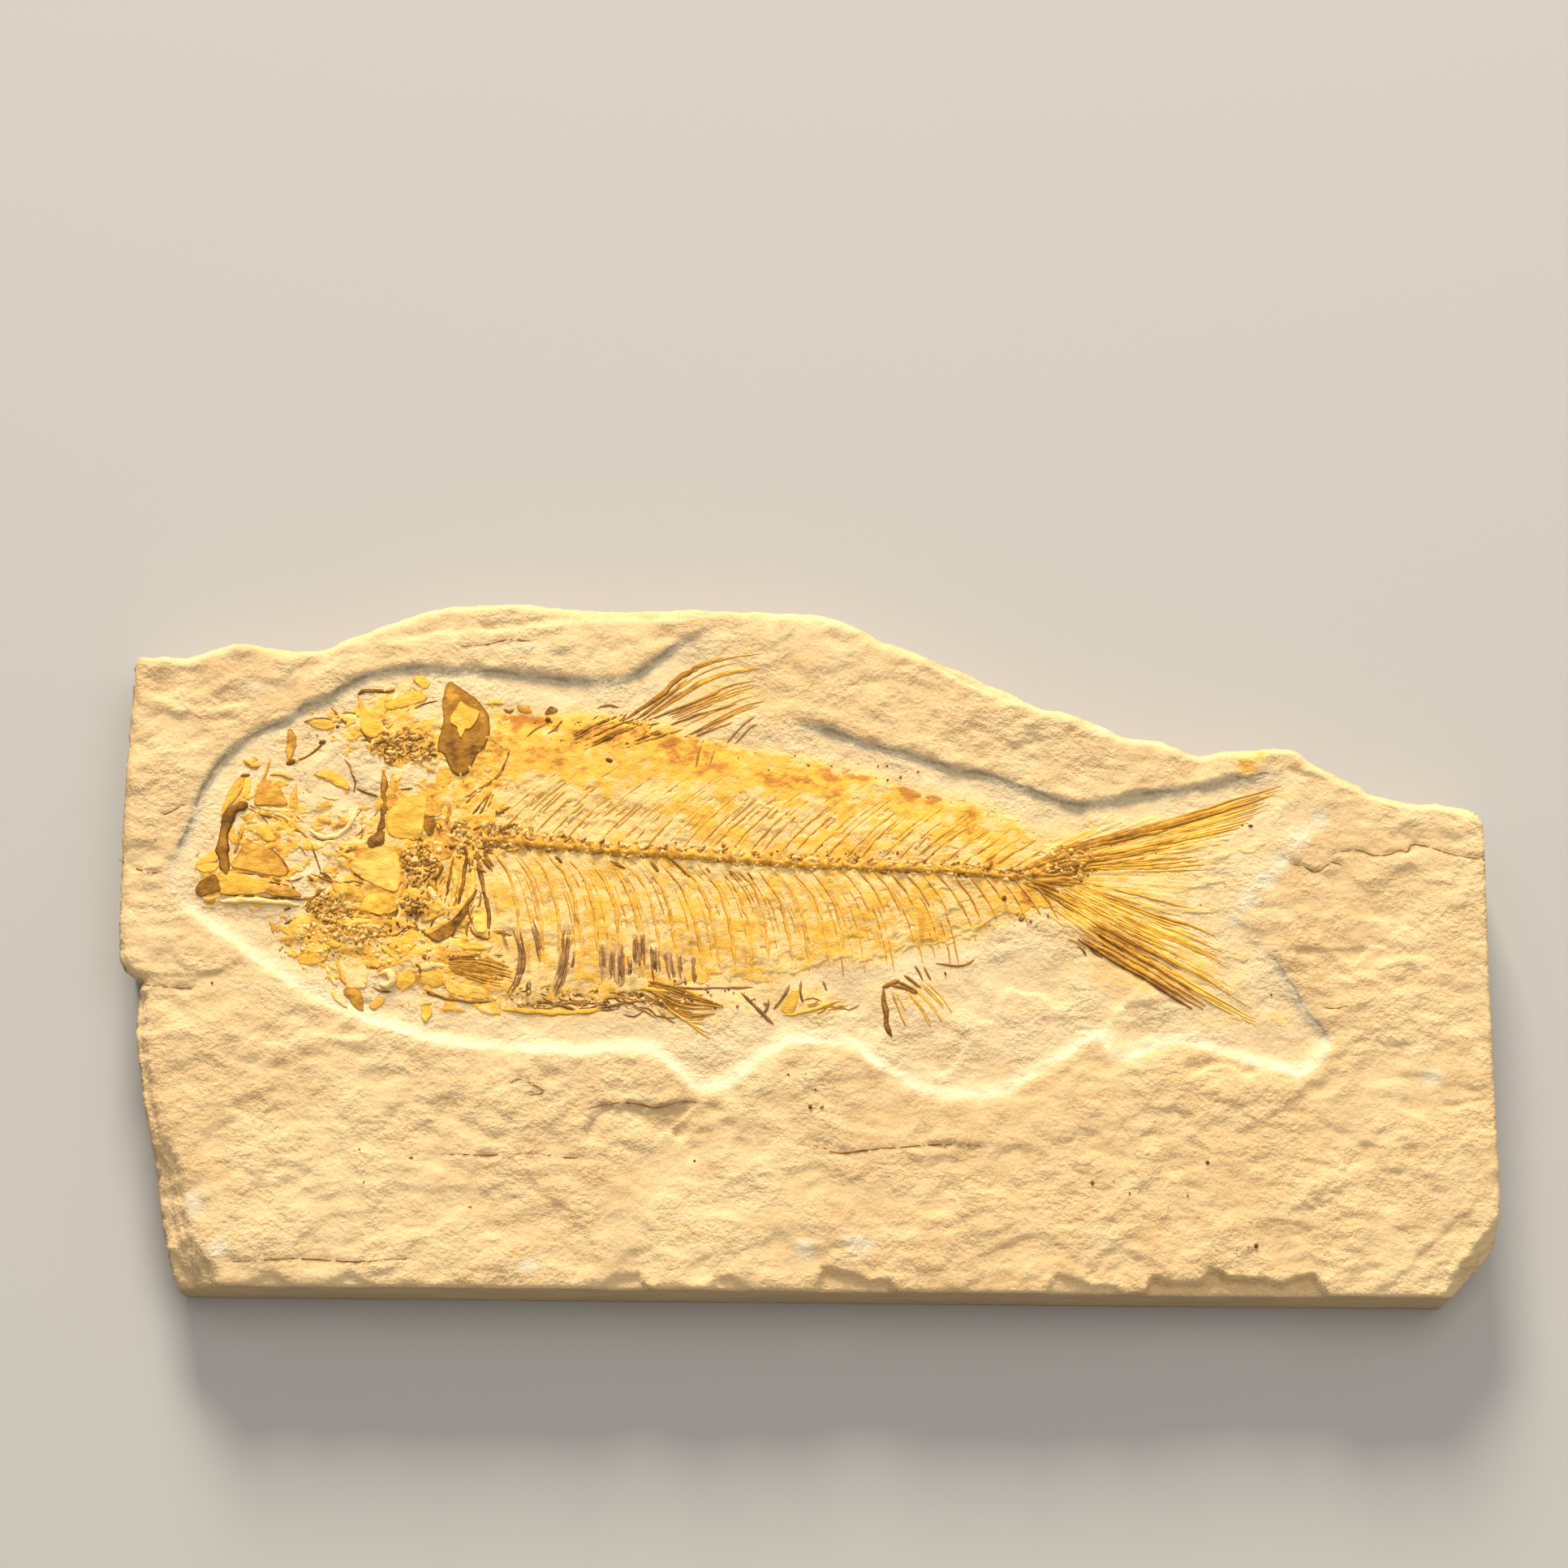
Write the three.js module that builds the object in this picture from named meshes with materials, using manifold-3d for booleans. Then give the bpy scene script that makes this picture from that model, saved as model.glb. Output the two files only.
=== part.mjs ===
// A fossil herring on a slab of pale split limestone. The slab is one uncut piece: a flat back, a sawn
// lower edge, a sawn right-hand end, and a broken top and left side. Its face is scraped down around
// the fish, and the fish's bones lie on that sunken bed as thin separate plates, rods and fans.
//
// Millimetres. +X runs along the slab towards the tail, +Y to its upper edge, +Z out of the face.
// The origin is the middle of the back, so the slab lies on z = 0 with the fish upwards.

import * as THREE from 'three';
import { mergeVertices } from 'three/addons/utils/BufferGeometryUtils.js';
import Module from 'manifold-3d';

const wasm = await Module();
wasm.setup();

// Driving dimensions of the slab.
const LEFT = -70.35;
const RIGHT = 69.9;
const LOWER = -35.7;
const UPPER = 36.5;
const THICKNESS = 9;
const BED_DEPTH = 1.6;
const BED_WALL_RUN = 1.3;
const SPLIT_SLOPE = THREE.MathUtils.degToRad(25);

// Points on the face are measured from a datum under the middle of the fish; this moves them so that
// the middle of the slab's box is the origin.
const DATUM_X = -(LEFT + RIGHT) / 2;
const DATUM_Y = -(LOWER + UPPER) / 2;

// Bones lie at one of three heights above the bed, each clear of the one below it.
const BED = THICKNESS - BED_DEPTH;
const BED_GAP = 0.25;
const SHEET = 0.35;
const LEVEL_STEP = 0.47;
const LOW = BED + BED_GAP;
const MIDDLE = LOW + LEVEL_STEP;
const HIGH = MIDDLE + LEVEL_STEP;

// The backbone and what hangs from it.
const VERTEBRAE = 30;
const BACKBONE_FRONT = -26;
const BACKBONE_END = 24;
const BACKBONE_THICKNESS = 0.85;
const SPINE_WIDTH = 0.32;
const RIBS = 18;
const RIB_FRONT = -30.6;
const RIB_PITCH = 1.9;
const RIB_WIDTH = 0.5;

const finish = (color, roughness) => new THREE.MeshStandardMaterial({ color, roughness, metalness: 0 });
const LIMESTONE = finish(0xe6cf9f, 0.92);
const DARK_BONE = finish(0x6b4420, 0.5);
const AMBER_BONE = finish(0xc98a3c, 0.5);
const YELLOW_BONE = finish(0xf0be56, 0.5);

const slab = new THREE.Group();
slab.name = 'fossil_fish_slab';

// --- Solids ---------------------------------------------------------------------------------------

const shapeOf = (points) => new THREE.Shape(points.map(([x, y]) => new THREE.Vector2(x, y)));

/** A three.js geometry as a manifold solid. */
function solid(geometry) {
  const bare = geometry.clone();
  bare.deleteAttribute('normal');
  bare.deleteAttribute('uv');
  const merged = mergeVertices(bare, 1e-4);
  const vertProperties = new Float32Array(merged.attributes.position.array);
  const triVerts = new Uint32Array(merged.index.array);
  return new wasm.Manifold(new wasm.Mesh({ numProp: 3, vertProperties, triVerts }));
}

/** A manifold solid as a three.js geometry. */
function geometryOf(manifold) {
  const mesh = manifold.getMesh();
  const geometry = new THREE.BufferGeometry();
  geometry.setAttribute('position', new THREE.BufferAttribute(mesh.vertProperties, 3));
  geometry.setIndex(new THREE.BufferAttribute(mesh.triVerts, 1));
  return geometry;
}

/** A flat sheet with the given closed outline, standing on height z. */
function sheet(points, z, thickness = SHEET) {
  const geometry = new THREE.ExtrudeGeometry(shapeOf(points), { depth: thickness, bevelEnabled: false });
  geometry.translate(0, 0, z);
  return geometry;
}

/** The outline of a ribbon along a line of points, its width going from one value to another. */
function ribbon(line, startWidth, endWidth = startWidth) {
  const left = [];
  const right = [];
  line.forEach(([x, y], i) => {
    const [ax, ay] = line[Math.max(i - 1, 0)];
    const [bx, by] = line[Math.min(i + 1, line.length - 1)];
    const run = Math.hypot(bx - ax, by - ay);
    const half = THREE.MathUtils.lerp(startWidth, endWidth, i / (line.length - 1)) / 2;
    const nx = (-(by - ay) / run) * half;
    const ny = ((bx - ax) / run) * half;
    left.push([x + nx, y + ny]);
    right.unshift([x - nx, y - ny]);
  });
  return [...right, ...left].reverse();
}

/** Several flat sheets of one thickness that share ground, joined in one solid. */
function joined(outlines, z, thickness = SHEET) {
  return outlines
    .map((outline) => solid(sheet(outline, z, thickness)))
    .reduce((whole, piece) => whole.add(piece));
}

/** Adds a named piece, moved from the face's datum to the part's origin. */
function add(name, material, geometry) {
  const mesh = new THREE.Mesh(geometry, material);
  mesh.name = name;
  mesh.position.set(DATUM_X, DATUM_Y, 0);
  slab.add(mesh);
}

// --- The limestone slab ---------------------------------------------------------------------------

const BROKEN_TOP = [
  [LEFT + 0.3, 28.9], [-69.6, 30.3], [-64.5, 30.2], [-61.8, 31.2], [-59, 31.7], [-53.5, 31.1],
  [-50.7, 31.2], [-48.5, 32.3], [-44.7, 33.8], [-41.9, 35], [-37.6, 36.3], [-29.1, UPPER],
  [-21, 36], [-12, 36.1], [1.8, 35.6], [4.9, 34.5], [8, 32.7], [12.8, 31], [17.7, 29],
  [22.1, 27], [24.7, 25.4], [28.1, 24.8], [32.5, 22.8], [37.2, 22], [40.4, 20.7], [44.2, 21.1],
  [49.8, 21.4], [52.1, 20.2], [56.2, 18], [58.1, 16.7], [61.5, 15.8], [66.2, 15.4], [69.2, 14.7],
];
const CHIPPED_CORNER = [[RIGHT, 13.9], [RIGHT, -28], [68.7, -31.5], [66.6, -33.8], [65, LOWER]];
const BROKEN_LEFT = [
  [-62.4, LOWER], [-63.7, -31.5], [-64.5, -27.5], [-65.2, -23.2], [-66.5, -17.6], [-67.4, -12.5],
  [-67.8, -9.8], [-67.6, -6.5], [-67.4, -4.7], [-69.5, -3.2], [-70.1, 1], [LEFT, 11.6],
  [LEFT + 0.15, 23.2],
];

// The line scraped around the fish, at the foot of its wall: over the back, around the tail, and
// along the belly with its three scallops.
const BED_OUTLINE = [
  [-63.6, 9.5], [-61.5, 16.5], [-57.5, 20.3], [-51.5, 23.6], [-46, 27], [-41, 28], [-33, 27.7],
  [-24, 26.6], [-18.5, 27.4], [-13, 31], [-8, 33], [-3, 29], [0.5, 22.4], [9, 19.3], [20, 16.4],
  [28, 13.5], [36, 15], [44, 16.7], [51.5, 17.5], [52.8, 14], [47, 6.5], [45.5, 1.5], [49, -4.8],
  [51.8, -9.5], [49.5, -12.3], [44, -10.2], [38, -8.6], [33, -10], [29.5, -8.6], [25, -11],
  [19.5, -14], [13.5, -14], [8, -11.6], [3, -8.7], [-1.4, -8.9], [-6, -12.2], [-9.5, -13.8],
  [-13.5, -10.7], [-20, -10.2], [-33, -9.8], [-44, -8.3], [-53, -3.4], [-60, 2.3], [-63.3, 5.2],
];

/** The room above the bed: its foot is the scraped line, and its wall leans outwards. */
function bedRoom() {
  const curve = new THREE.SplineCurve(BED_OUTLINE.map(([x, y]) => new THREE.Vector2(x, y)).reverse());
  const shape = new THREE.Shape(curve.getPoints(BED_OUTLINE.length * 2));
  const room = new THREE.ExtrudeGeometry(shape, {
    depth: BED_DEPTH,
    bevelEnabled: true,
    bevelThickness: BED_DEPTH,
    bevelSize: BED_WALL_RUN,
    bevelSegments: 1,
  });
  room.translate(0, 0, THICKNESS);
  return room;
}

/**
 * A block that splits a sloping face off the slab: it meets the front face along the line between two
 * points, lies to the left of that line, and its face leans outwards by the slope from upright.
 */
function splitBlock([x1, y1], [x2, y2], slope) {
  const size = 30;
  const block = new THREE.BoxGeometry(Math.hypot(x2 - x1, y2 - y1) + 2, size, size);
  block.translate(0, size / 2, 0);
  block.rotateX(slope);
  block.rotateZ(Math.atan2(y2 - y1, x2 - x1));
  block.translate((x1 + x2) / 2, (y1 + y2) / 2, THICKNESS);
  return block;
}

/** A thin flake lost from the front of the sawn lower edge. */
function flake(fromX, toX, height, depth) {
  const middle = (fromX + toX) / 2;
  const outline = [
    [fromX, LOWER - 1], [toX, LOWER - 1], [toX - 0.8, LOWER + height * 0.6],
    [middle + 0.5, LOWER + height], [fromX + 0.6, LOWER + height * 0.7],
  ];
  return sheet(outline, THICKNESS - depth, depth + 1);
}

const cuts = [
  bedRoom(),
  splitBlock([-63.2, -20.5], [-65.9, -6.5], SPLIT_SLOPE),
  splitBlock([-58, LOWER], [-63.2, -20.5], SPLIT_SLOPE),
  splitBlock([RIGHT - 0.6, -28], [63.8, LOWER + 1], SPLIT_SLOPE),
  flake(34.5, 50.5, 2.2, 1.3),
  flake(1.5, 9.5, 1.6, 0.8),
  flake(-20.5, -14.5, 1.2, 0.7),
  flake(-55.5, -50, 1.3, 0.6),
];
const blank = solid(sheet([...BROKEN_TOP, ...CHIPPED_CORNER, ...BROKEN_LEFT].reverse(), 0, THICKNESS));
const stone = cuts.reduce((rest, cut) => rest.subtract(solid(cut)), blank);
add('limestone_slab', LIMESTONE, geometryOf(stone));

// --- Backbone, ribs and belly plates --------------------------------------------------------------

const spineLine = new THREE.CatmullRomCurve3(
  [[-26, 10], [-15, 9.2], [-5, 8.6], [5, 8.1], [15, 7.8], [20, 7.3], [24, 7.6]]
    .map(([x, y]) => new THREE.Vector3(x, y, 0)),
);

/** Height of the backbone's middle line at x. */
function spineHeight(x) {
  const along = THREE.MathUtils.inverseLerp(BACKBONE_FRONT, BACKBONE_END, x);
  return spineLine.getPoint(THREE.MathUtils.clamp(along, 0, 1)).y;
}

/** Half the height of the vertebrae, which grow smaller towards the tail. */
const vertebraHalf = (along) => THREE.MathUtils.lerp(1, 0.42, along);

/** Backbone outline: each vertebra is waisted between its two rims. */
function backboneOutline() {
  const top = [];
  const bottom = [];
  for (let i = 0; i <= 2 * VERTEBRAE; i += 1) {
    const along = i / (2 * VERTEBRAE);
    const waist = i % 2 ? 0.78 : 1;
    const x = THREE.MathUtils.lerp(BACKBONE_FRONT, BACKBONE_END, along);
    const half = vertebraHalf(along) * waist;
    top.unshift([x, spineHeight(x) + half]);
    bottom.push([x, spineHeight(x) - half]);
  }
  return [...bottom, ...top];
}

/** A spine of one vertebra: it leaves the backbone slanting back and bends flatter at its tip. */
function vertebraSpine(index, side, length) {
  const along = (index + 0.5) / VERTEBRAE;
  const x = THREE.MathUtils.lerp(BACKBONE_FRONT, BACKBONE_END, along);
  const root = vertebraHalf(along) * 0.6;
  const line = [[0, root], [length * 0.32, root + length * 0.4], [length * 0.8, root + length * 0.72]];
  return ribbon(line.map(([dx, dy]) => [x + dx, spineHeight(x) + side * dy]), SPINE_WIDTH, 0.2);
}

const spines = [];
for (let i = 6; i < VERTEBRAE; i += 1) {
  spines.push(vertebraSpine(i, 1, THREE.MathUtils.lerp(5.4, 3.4, i / VERTEBRAE)));
  if (i > 20) {
    spines.push(vertebraSpine(i, -1, THREE.MathUtils.lerp(5, 3.2, i / VERTEBRAE)));
  }
}
add('backbone', AMBER_BONE, geometryOf(joined([backboneOutline(), ...spines], LOW, BACKBONE_THICKNESS)));

/** One rib as a swept ribbon: it hangs from the backbone, runs back and steepens to the belly. */
function rib(index) {
  const x = RIB_FRONT + index * RIB_PITCH;
  const along = index / (RIBS - 1);
  const rootY = Math.min(spineHeight(x), 9.6) - vertebraHalf(Math.max(along * 0.6, 0)) - 0.5;
  const reach = THREE.MathUtils.lerp(4.2, 6, along);
  const endY = THREE.MathUtils.lerp(-3.6, -0.8, along);
  const curve = new THREE.QuadraticBezierCurve(
    new THREE.Vector2(x, rootY),
    new THREE.Vector2(x + 0.8 * reach, THREE.MathUtils.lerp(rootY, endY, 0.35)),
    new THREE.Vector2(x + reach, endY),
  );
  return ribbon(curve.getPoints(6).map((p) => [p.x, p.y]), RIB_WIDTH, 0.3);
}

for (let i = 0; i < RIBS; i += 1) {
  add(`rib_${String(i + 1).padStart(2, '0')}`, YELLOW_BONE, sheet(rib(i), LOW));
}

// Belly plates: purple-brown bars that stand over the ends of the ribs.
const SCUTE_BARS = [
  [-29.3, 1, -6.8, 0.6], [-27.6, -3.6, -7, 0.7], [-24.3, 0.5, -6.6, 0.9], [-20.3, -0.5, -5.4, 0.6],
  [-18.4, -1, -5, 0.6], [-15.8, 0.5, -4.4, 1.4],
];
SCUTE_BARS.forEach(([x, top, bottom, width], i) => {
  const line = [[x - 0.4, top], [x + 0.1, (top + bottom) / 2], [x, bottom]];
  add(`belly_plate_${i + 1}`, DARK_BONE, sheet(ribbon(line, width * 0.7, width), MIDDLE));
});

// --- Fins -----------------------------------------------------------------------------------------

/** A fin: ribbons that spread from a shared root bar, joined where they meet it. */
function fin(name, material, root, rays, level = MIDDLE) {
  add(name, material, geometryOf(joined([root, ...rays], level)));
}

fin('dorsal_fin', DARK_BONE, ribbon([[-19.6, 22.9], [-15, 22.6], [-10.5, 21.2], [-6.6, 20.7]], 1), [
  ribbon([[-19, 22.8], [-15.5, 26], [-12.8, 28.5], [-11, 29.6], [-8.3, 30.5]], 0.8, 0.3),
  ribbon([[-17.6, 22.8], [-13.5, 26.2], [-10.1, 28.3]], 0.5, 0.25),
  ribbon([[-16, 22.8], [-12, 25.4], [-8.8, 26.8]], 0.5, 0.25),
  ribbon([[-14.2, 22.3], [-11, 24.2], [-7.1, 25.4]], 0.4, 0.25),
  ribbon([[-12.2, 21.6], [-9.5, 23.3], [-6.8, 24.5]], 0.4, 0.25),
  ribbon([[-8.4, 20.8], [-6.5, 23], [-5.2, 24]], 0.4, 0.25),
]);
fin('pectoral_fin', DARK_BONE, ribbon([[-36.6, -1.2], [-36.2, -3.6]], 1.2), [
  ribbon([[-36.6, -1.6], [-32.5, -2.3], [-30.3, -3.2]], 0.7, 0.3),
  ribbon([[-36.4, -2.6], [-33, -3.4], [-29.9, -4.3]], 0.7, 0.3),
  ribbon([[-36.3, -3.5], [-33, -4.6], [-30.4, -5.1]], 0.6, 0.3),
], HIGH);
fin('pelvic_fin', DARK_BONE, ribbon([[-17, -4.9], [-14.4, -5.6]], 1.5, 1.9), [
  ribbon([[-16, -5], [-12, -5.7], [-9.5, -6], [-7.9, -6.8]], 0.9, 0.3),
  ribbon([[-15.6, -5.8], [-12, -7.6], [-9, -7.7]], 0.9, 0.3),
  ribbon([[-15.2, -6], [-11.5, -9], [-9.4, -10]], 0.5, 0.25),
], LOW);
fin('anal_fin', DARK_BONE, ribbon([[7.6, -4.6], [9.6, -3.7], [12.6, -2.4]], 0.7), [
  ribbon([[8, -4.6], [8.4, -6.5], [8.6, -8.4], [9.1, -9.8]], 0.6, 0.3),
  ribbon([[9.2, -3.9], [11.8, -5.4]], 0.5, 0.3),
  ribbon([[10.4, -3.3], [12.2, -4.7]], 0.4, 0.25),
  ribbon([[11.6, -2.8], [13.2, -3.9]], 0.4, 0.25),
], LOW);
fin('tail_root', DARK_BONE, ribbon([[24.9, 9.6], [25.3, 7.6], [24.8, 5]], 1.2), [
  ribbon([[25, 8.8], [28.5, 9.2], [31, 9.8]], 1.3, 0.6),
  ribbon([[25, 7.2], [28, 7.8], [31, 8]], 1.1, 0.5),
  ribbon([[25, 6], [27.6, 4.8], [29, 3.6]], 0.8, 0.4),
], HIGH);
fin('tail_fin_upper', AMBER_BONE, ribbon([[26.5, 9.9], [27.2, 8.4]], 1.4), [
  ribbon([[26.4, 10], [35, 12.9], [41, 14.3], [45, 15.6], [50.4, 17]], 1, 0.4),
  ribbon([[26.8, 9.4], [36, 11.2], [43, 13.6], [48, 15.4]], 0.9, 0.3),
  ribbon([[27, 8.6], [35, 9.2], [40, 10.2], [43, 11.4]], 0.9, 0.3),
], LOW);
fin('tail_fin_lower', AMBER_BONE, ribbon([[27, 6.6], [27.2, 2.8]], 1.2), [
  ribbon([[27.2, 6.2], [33, 5.8], [40, 4.4]], 0.7, 0.3),
  ribbon([[27.2, 4.6], [34, 2], [41, -1.4], [46.4, -6.6]], 0.9, 0.3),
  ribbon([[27, 3], [33, -1.2], [38, -4.9], [46.2, -8.7]], 1.1, 0.4),
], LOW);

// --- Head -----------------------------------------------------------------------------------------

/** A flat bone of the head. */
const plate = (name, material, level, outline) => add(name, material, sheet(outline, level));

/** A rod-like bone of the head. */
const rod = (name, material, level, line, startWidth, endWidth) => {
  add(name, material, sheet(ribbon(line, startWidth, endWidth), level));
};

// Snout and jaws.
plate('snout_bone', YELLOW_BONE, LOW, [
  [-59.8, 12.9], [-59.4, 14.8], [-59, 16.2], [-58.2, 17.1], [-57.2, 17], [-56.9, 16.2], [-58, 14.6], [-59, 13.5],
]);
rod('upper_jaw_bone', DARK_BONE, MIDDLE, [
  [-57.4, 14.3], [-58.5, 13.8], [-59.3, 12.4], [-59.6, 10.5], [-59.5, 8.8], [-59, 7.2],
], 1.2, 0.9);
plate('upper_jaw_tip', AMBER_BONE, LOW, [[-62.3, 7.7], [-61.6, 8.4], [-60.4, 9.3], [-60, 7.8], [-60.6, 7], [-62, 6.8]]);
plate('lower_jaw_tip', DARK_BONE, MIDDLE, [
  [-62.4, 5.1], [-61.8, 5.8], [-60.8, 6.5], [-60.2, 6], [-59.9, 4.8], [-61.2, 4.5],
]);
plate('lower_jaw_plate', AMBER_BONE, MIDDLE, [
  [-58.3, 7.3], [-58.2, 8.8], [-57.4, 9.9], [-56, 9.9], [-54.7, 9.2], [-53.6, 7.9], [-52.9, 6.7], [-54.5, 6.7],
  [-56.5, 7],
]);
plate('lower_jaw_bone', YELLOW_BONE, LOW, [
  [-59.9, 6.6], [-57.5, 6.5], [-54.5, 5.9], [-52.3, 5.5], [-51, 4.2], [-53.5, 4.2], [-57, 4.4], [-59.6, 4.7],
]);

// Around the eye.
plate('nose_plate', AMBER_BONE, LOW, [
  [-56.6, 14.2], [-56.2, 15.8], [-55.4, 17], [-54.5, 16.2], [-53.9, 15.4], [-53.3, 14.2], [-55, 14.1],
]);
rod('eye_crescent', YELLOW_BONE, LOW, [
  [-50.9, 11.4], [-49.6, 10.8], [-48, 10.9], [-46.7, 12], [-46, 13.6], [-46.3, 15],
], 0.5, 0.6);
rod('eye_top_plate', YELLOW_BONE, MIDDLE, [[-50.4, 17.5], [-49, 17], [-47.8, 16.4], [-46.9, 16]], 0.8, 0.6);
plate('brow_bone', DARK_BONE, MIDDLE, [
  [-53.5, 22.3], [-52.9, 21.4], [-52.7, 20.4], [-53, 19.2], [-53.6, 18.6], [-53.7, 20.4],
]);
rod('skull_roof', AMBER_BONE, LOW, [[-52, 23.2], [-50, 23.1], [-47.6, 22.6], [-46.9, 22.3]], 0.9, 0.6);
plate('crest_plate', YELLOW_BONE, LOW, [
  [-43.6, 25], [-42.4, 25.8], [-40.9, 26.6], [-40, 26.4], [-39.4, 25.7], [-41.2, 25.2], [-43, 24.6],
]);
plate('nape_plate', YELLOW_BONE, MIDDLE, [
  [-46.4, 25.9], [-45.7, 25], [-45.2, 23.6], [-44, 22.4], [-44, 21.3], [-45.2, 21.3], [-46.1, 22.6], [-46.1, 24.2],
]);
plate('braincase', AMBER_BONE, LOW, [
  [-43.5, 22.4], [-41.8, 23.2], [-40.2, 23], [-38.9, 22], [-38.3, 21], [-38.6, 19.3], [-40, 18.8], [-41.8, 18.9],
  [-43, 19.6], [-43.9, 20.8],
]);

// Gill cover and cheek.
plate('gill_cover', DARK_BONE, MIDDLE, [
  [-37.3, 27.6], [-36, 26.9], [-34.3, 25.9], [-32.9, 24.4], [-32.6, 22.8], [-33.3, 21.5], [-33.8, 20.6],
  [-33, 19.6], [-34, 19], [-34.8, 17.7], [-35.7, 17], [-36.5, 17.4], [-37.2, 18.8], [-38, 19.5], [-37.5, 21],
  [-38, 23], [-37.6, 25.5],
]);
plate('gill_cover_flake', YELLOW_BONE, HIGH, [
  [-36.8, 23.4], [-36.2, 24.4], [-35.6, 25.3], [-33.8, 25.2], [-33.4, 24.4], [-34.1, 23.2], [-34.6, 22],
  [-35.6, 21.4], [-36.5, 22],
]);
rod('cheek_bar', DARK_BONE, HIGH, [
  [-43.6, 17.8], [-43.3, 16.2], [-43.2, 14.6], [-43.5, 12.8], [-43.8, 11.4], [-44.1, 10],
], 0.6, 1.2);
plate('gill_plate_upper', YELLOW_BONE, MIDDLE, [
  [-42.8, 13.4], [-41.8, 14.4], [-40.6, 15.2], [-39, 15.2], [-37.9, 14.1], [-37.2, 13], [-39, 13], [-39.3, 11.6],
  [-39, 10.6], [-40.6, 10.3], [-42.6, 10.9],
]);
plate('gill_plate_broad', YELLOW_BONE, LOW, [
  [-46.5, 7.8], [-45, 9.2], [-42.8, 9.7], [-41.5, 8.2], [-41.3, 6], [-41.8, 4.9], [-43.5, 5.6], [-45.3, 6.6],
]);
plate('gill_lobe', YELLOW_BONE, MIDDLE, [
  [-45.3, 3.6], [-44.3, 4.9], [-42.5, 4.8], [-41.4, 3.6], [-42.2, 2.6], [-43.6, 2.4], [-44.8, 2.9],
]);
plate('gill_arches', DARK_BONE, MIDDLE, [
  [-52.8, 1.8], [-51, 3.2], [-50.2, 4.8], [-48.8, 5.2], [-47.9, 4], [-46.6, 3], [-46.6, 1.6], [-48.6, 1.2],
  [-50.6, 2],
]);

// Throat and shoulder.
plate('throat_bone', YELLOW_BONE, LOW, [
  [-47.6, -0.6], [-46.2, -1.4], [-44.4, -3], [-43.6, -5.4], [-44.8, -7.3], [-45.6, -6.6], [-46.6, -4.6],
]);
plate('throat_chip', DARK_BONE, MIDDLE, [[-46.7, -5.6], [-46, -5.1], [-44.8, -5.6], [-44.7, -7.6], [-45.6, -7]]);
rod('shoulder_bone', DARK_BONE, HIGH, [
  [-40.6, 1.3], [-39, 0.7], [-37.6, 0.2], [-36.2, 1], [-34.8, 2.6], [-33.6, 4.4], [-33.3, 6],
], 0.6, 1);
rod('shoulder_ray_front', DARK_BONE, MIDDLE, [[-34.9, 10.4], [-34.8, 7.6], [-35.2, 4.7], [-35.6, 3.2]], 0.5, 0.4);
rod('shoulder_ray_rear', DARK_BONE, MIDDLE, [[-33.9, 9.9], [-33.2, 8], [-32.8, 5.8], [-32.3, 3.4], [-32, 0.6]], 0.5, 0.4);

export default slab;
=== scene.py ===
# %% [markdown]
# # A fossil herring on a slab of split limestone
#
# The slab is one thin stone, sawn along its lower edge and its right-hand end and broken along its
# top and left. Somebody has scraped the stone down around a small fish, whose bones lie on the sunken
# bed: brown rods, amber plates and a thin yellow film where the body was.
#
# Everything is a surface worked out with numpy. The stone is a height above its flat back for each
# place (x, y) on the face, and each bone is a shape laid on that height. So one function, the height
# of the stone, holds the whole object together, and it is written first.

import bpy
import numpy as np
from mathutils import Matrix, Vector


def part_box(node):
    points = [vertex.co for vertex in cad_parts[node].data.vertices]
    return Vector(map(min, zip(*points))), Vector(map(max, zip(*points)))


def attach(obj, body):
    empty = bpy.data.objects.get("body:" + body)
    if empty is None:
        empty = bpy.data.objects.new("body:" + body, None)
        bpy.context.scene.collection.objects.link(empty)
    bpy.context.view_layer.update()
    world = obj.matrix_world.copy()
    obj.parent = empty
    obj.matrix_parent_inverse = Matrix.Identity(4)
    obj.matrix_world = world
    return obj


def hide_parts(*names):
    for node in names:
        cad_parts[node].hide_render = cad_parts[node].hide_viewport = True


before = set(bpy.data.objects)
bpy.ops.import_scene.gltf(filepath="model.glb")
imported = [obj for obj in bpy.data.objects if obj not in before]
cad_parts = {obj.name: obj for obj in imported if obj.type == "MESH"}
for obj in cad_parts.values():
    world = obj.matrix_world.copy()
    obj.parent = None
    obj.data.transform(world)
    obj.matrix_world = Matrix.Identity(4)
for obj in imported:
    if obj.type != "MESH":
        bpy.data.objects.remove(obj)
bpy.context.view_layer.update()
PER_METRE = 1000
slab_low, slab_high = (PER_METRE * np.array(corner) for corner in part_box("limestone_slab"))
print("slab box, mm:", slab_low.round(2), slab_high.round(2))

# %% [markdown]
# ## Millimetres on the face
#
# Places on the face are given in millimetres from a datum under the middle of the fish, because that
# is how one would lay the fish out on the stone. The datum's own place comes from the slab's box. A
# mesh is turned into metres in the part's frame only when it is made, by one function.

# %% Datum and mesh making
LEFT_END = -70.35
LOWER_EDGE = -35.7
datum = np.array([slab_low[0] - LEFT_END, slab_low[1] - LOWER_EDGE, 0])
TOP = slab_high[2]


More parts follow.
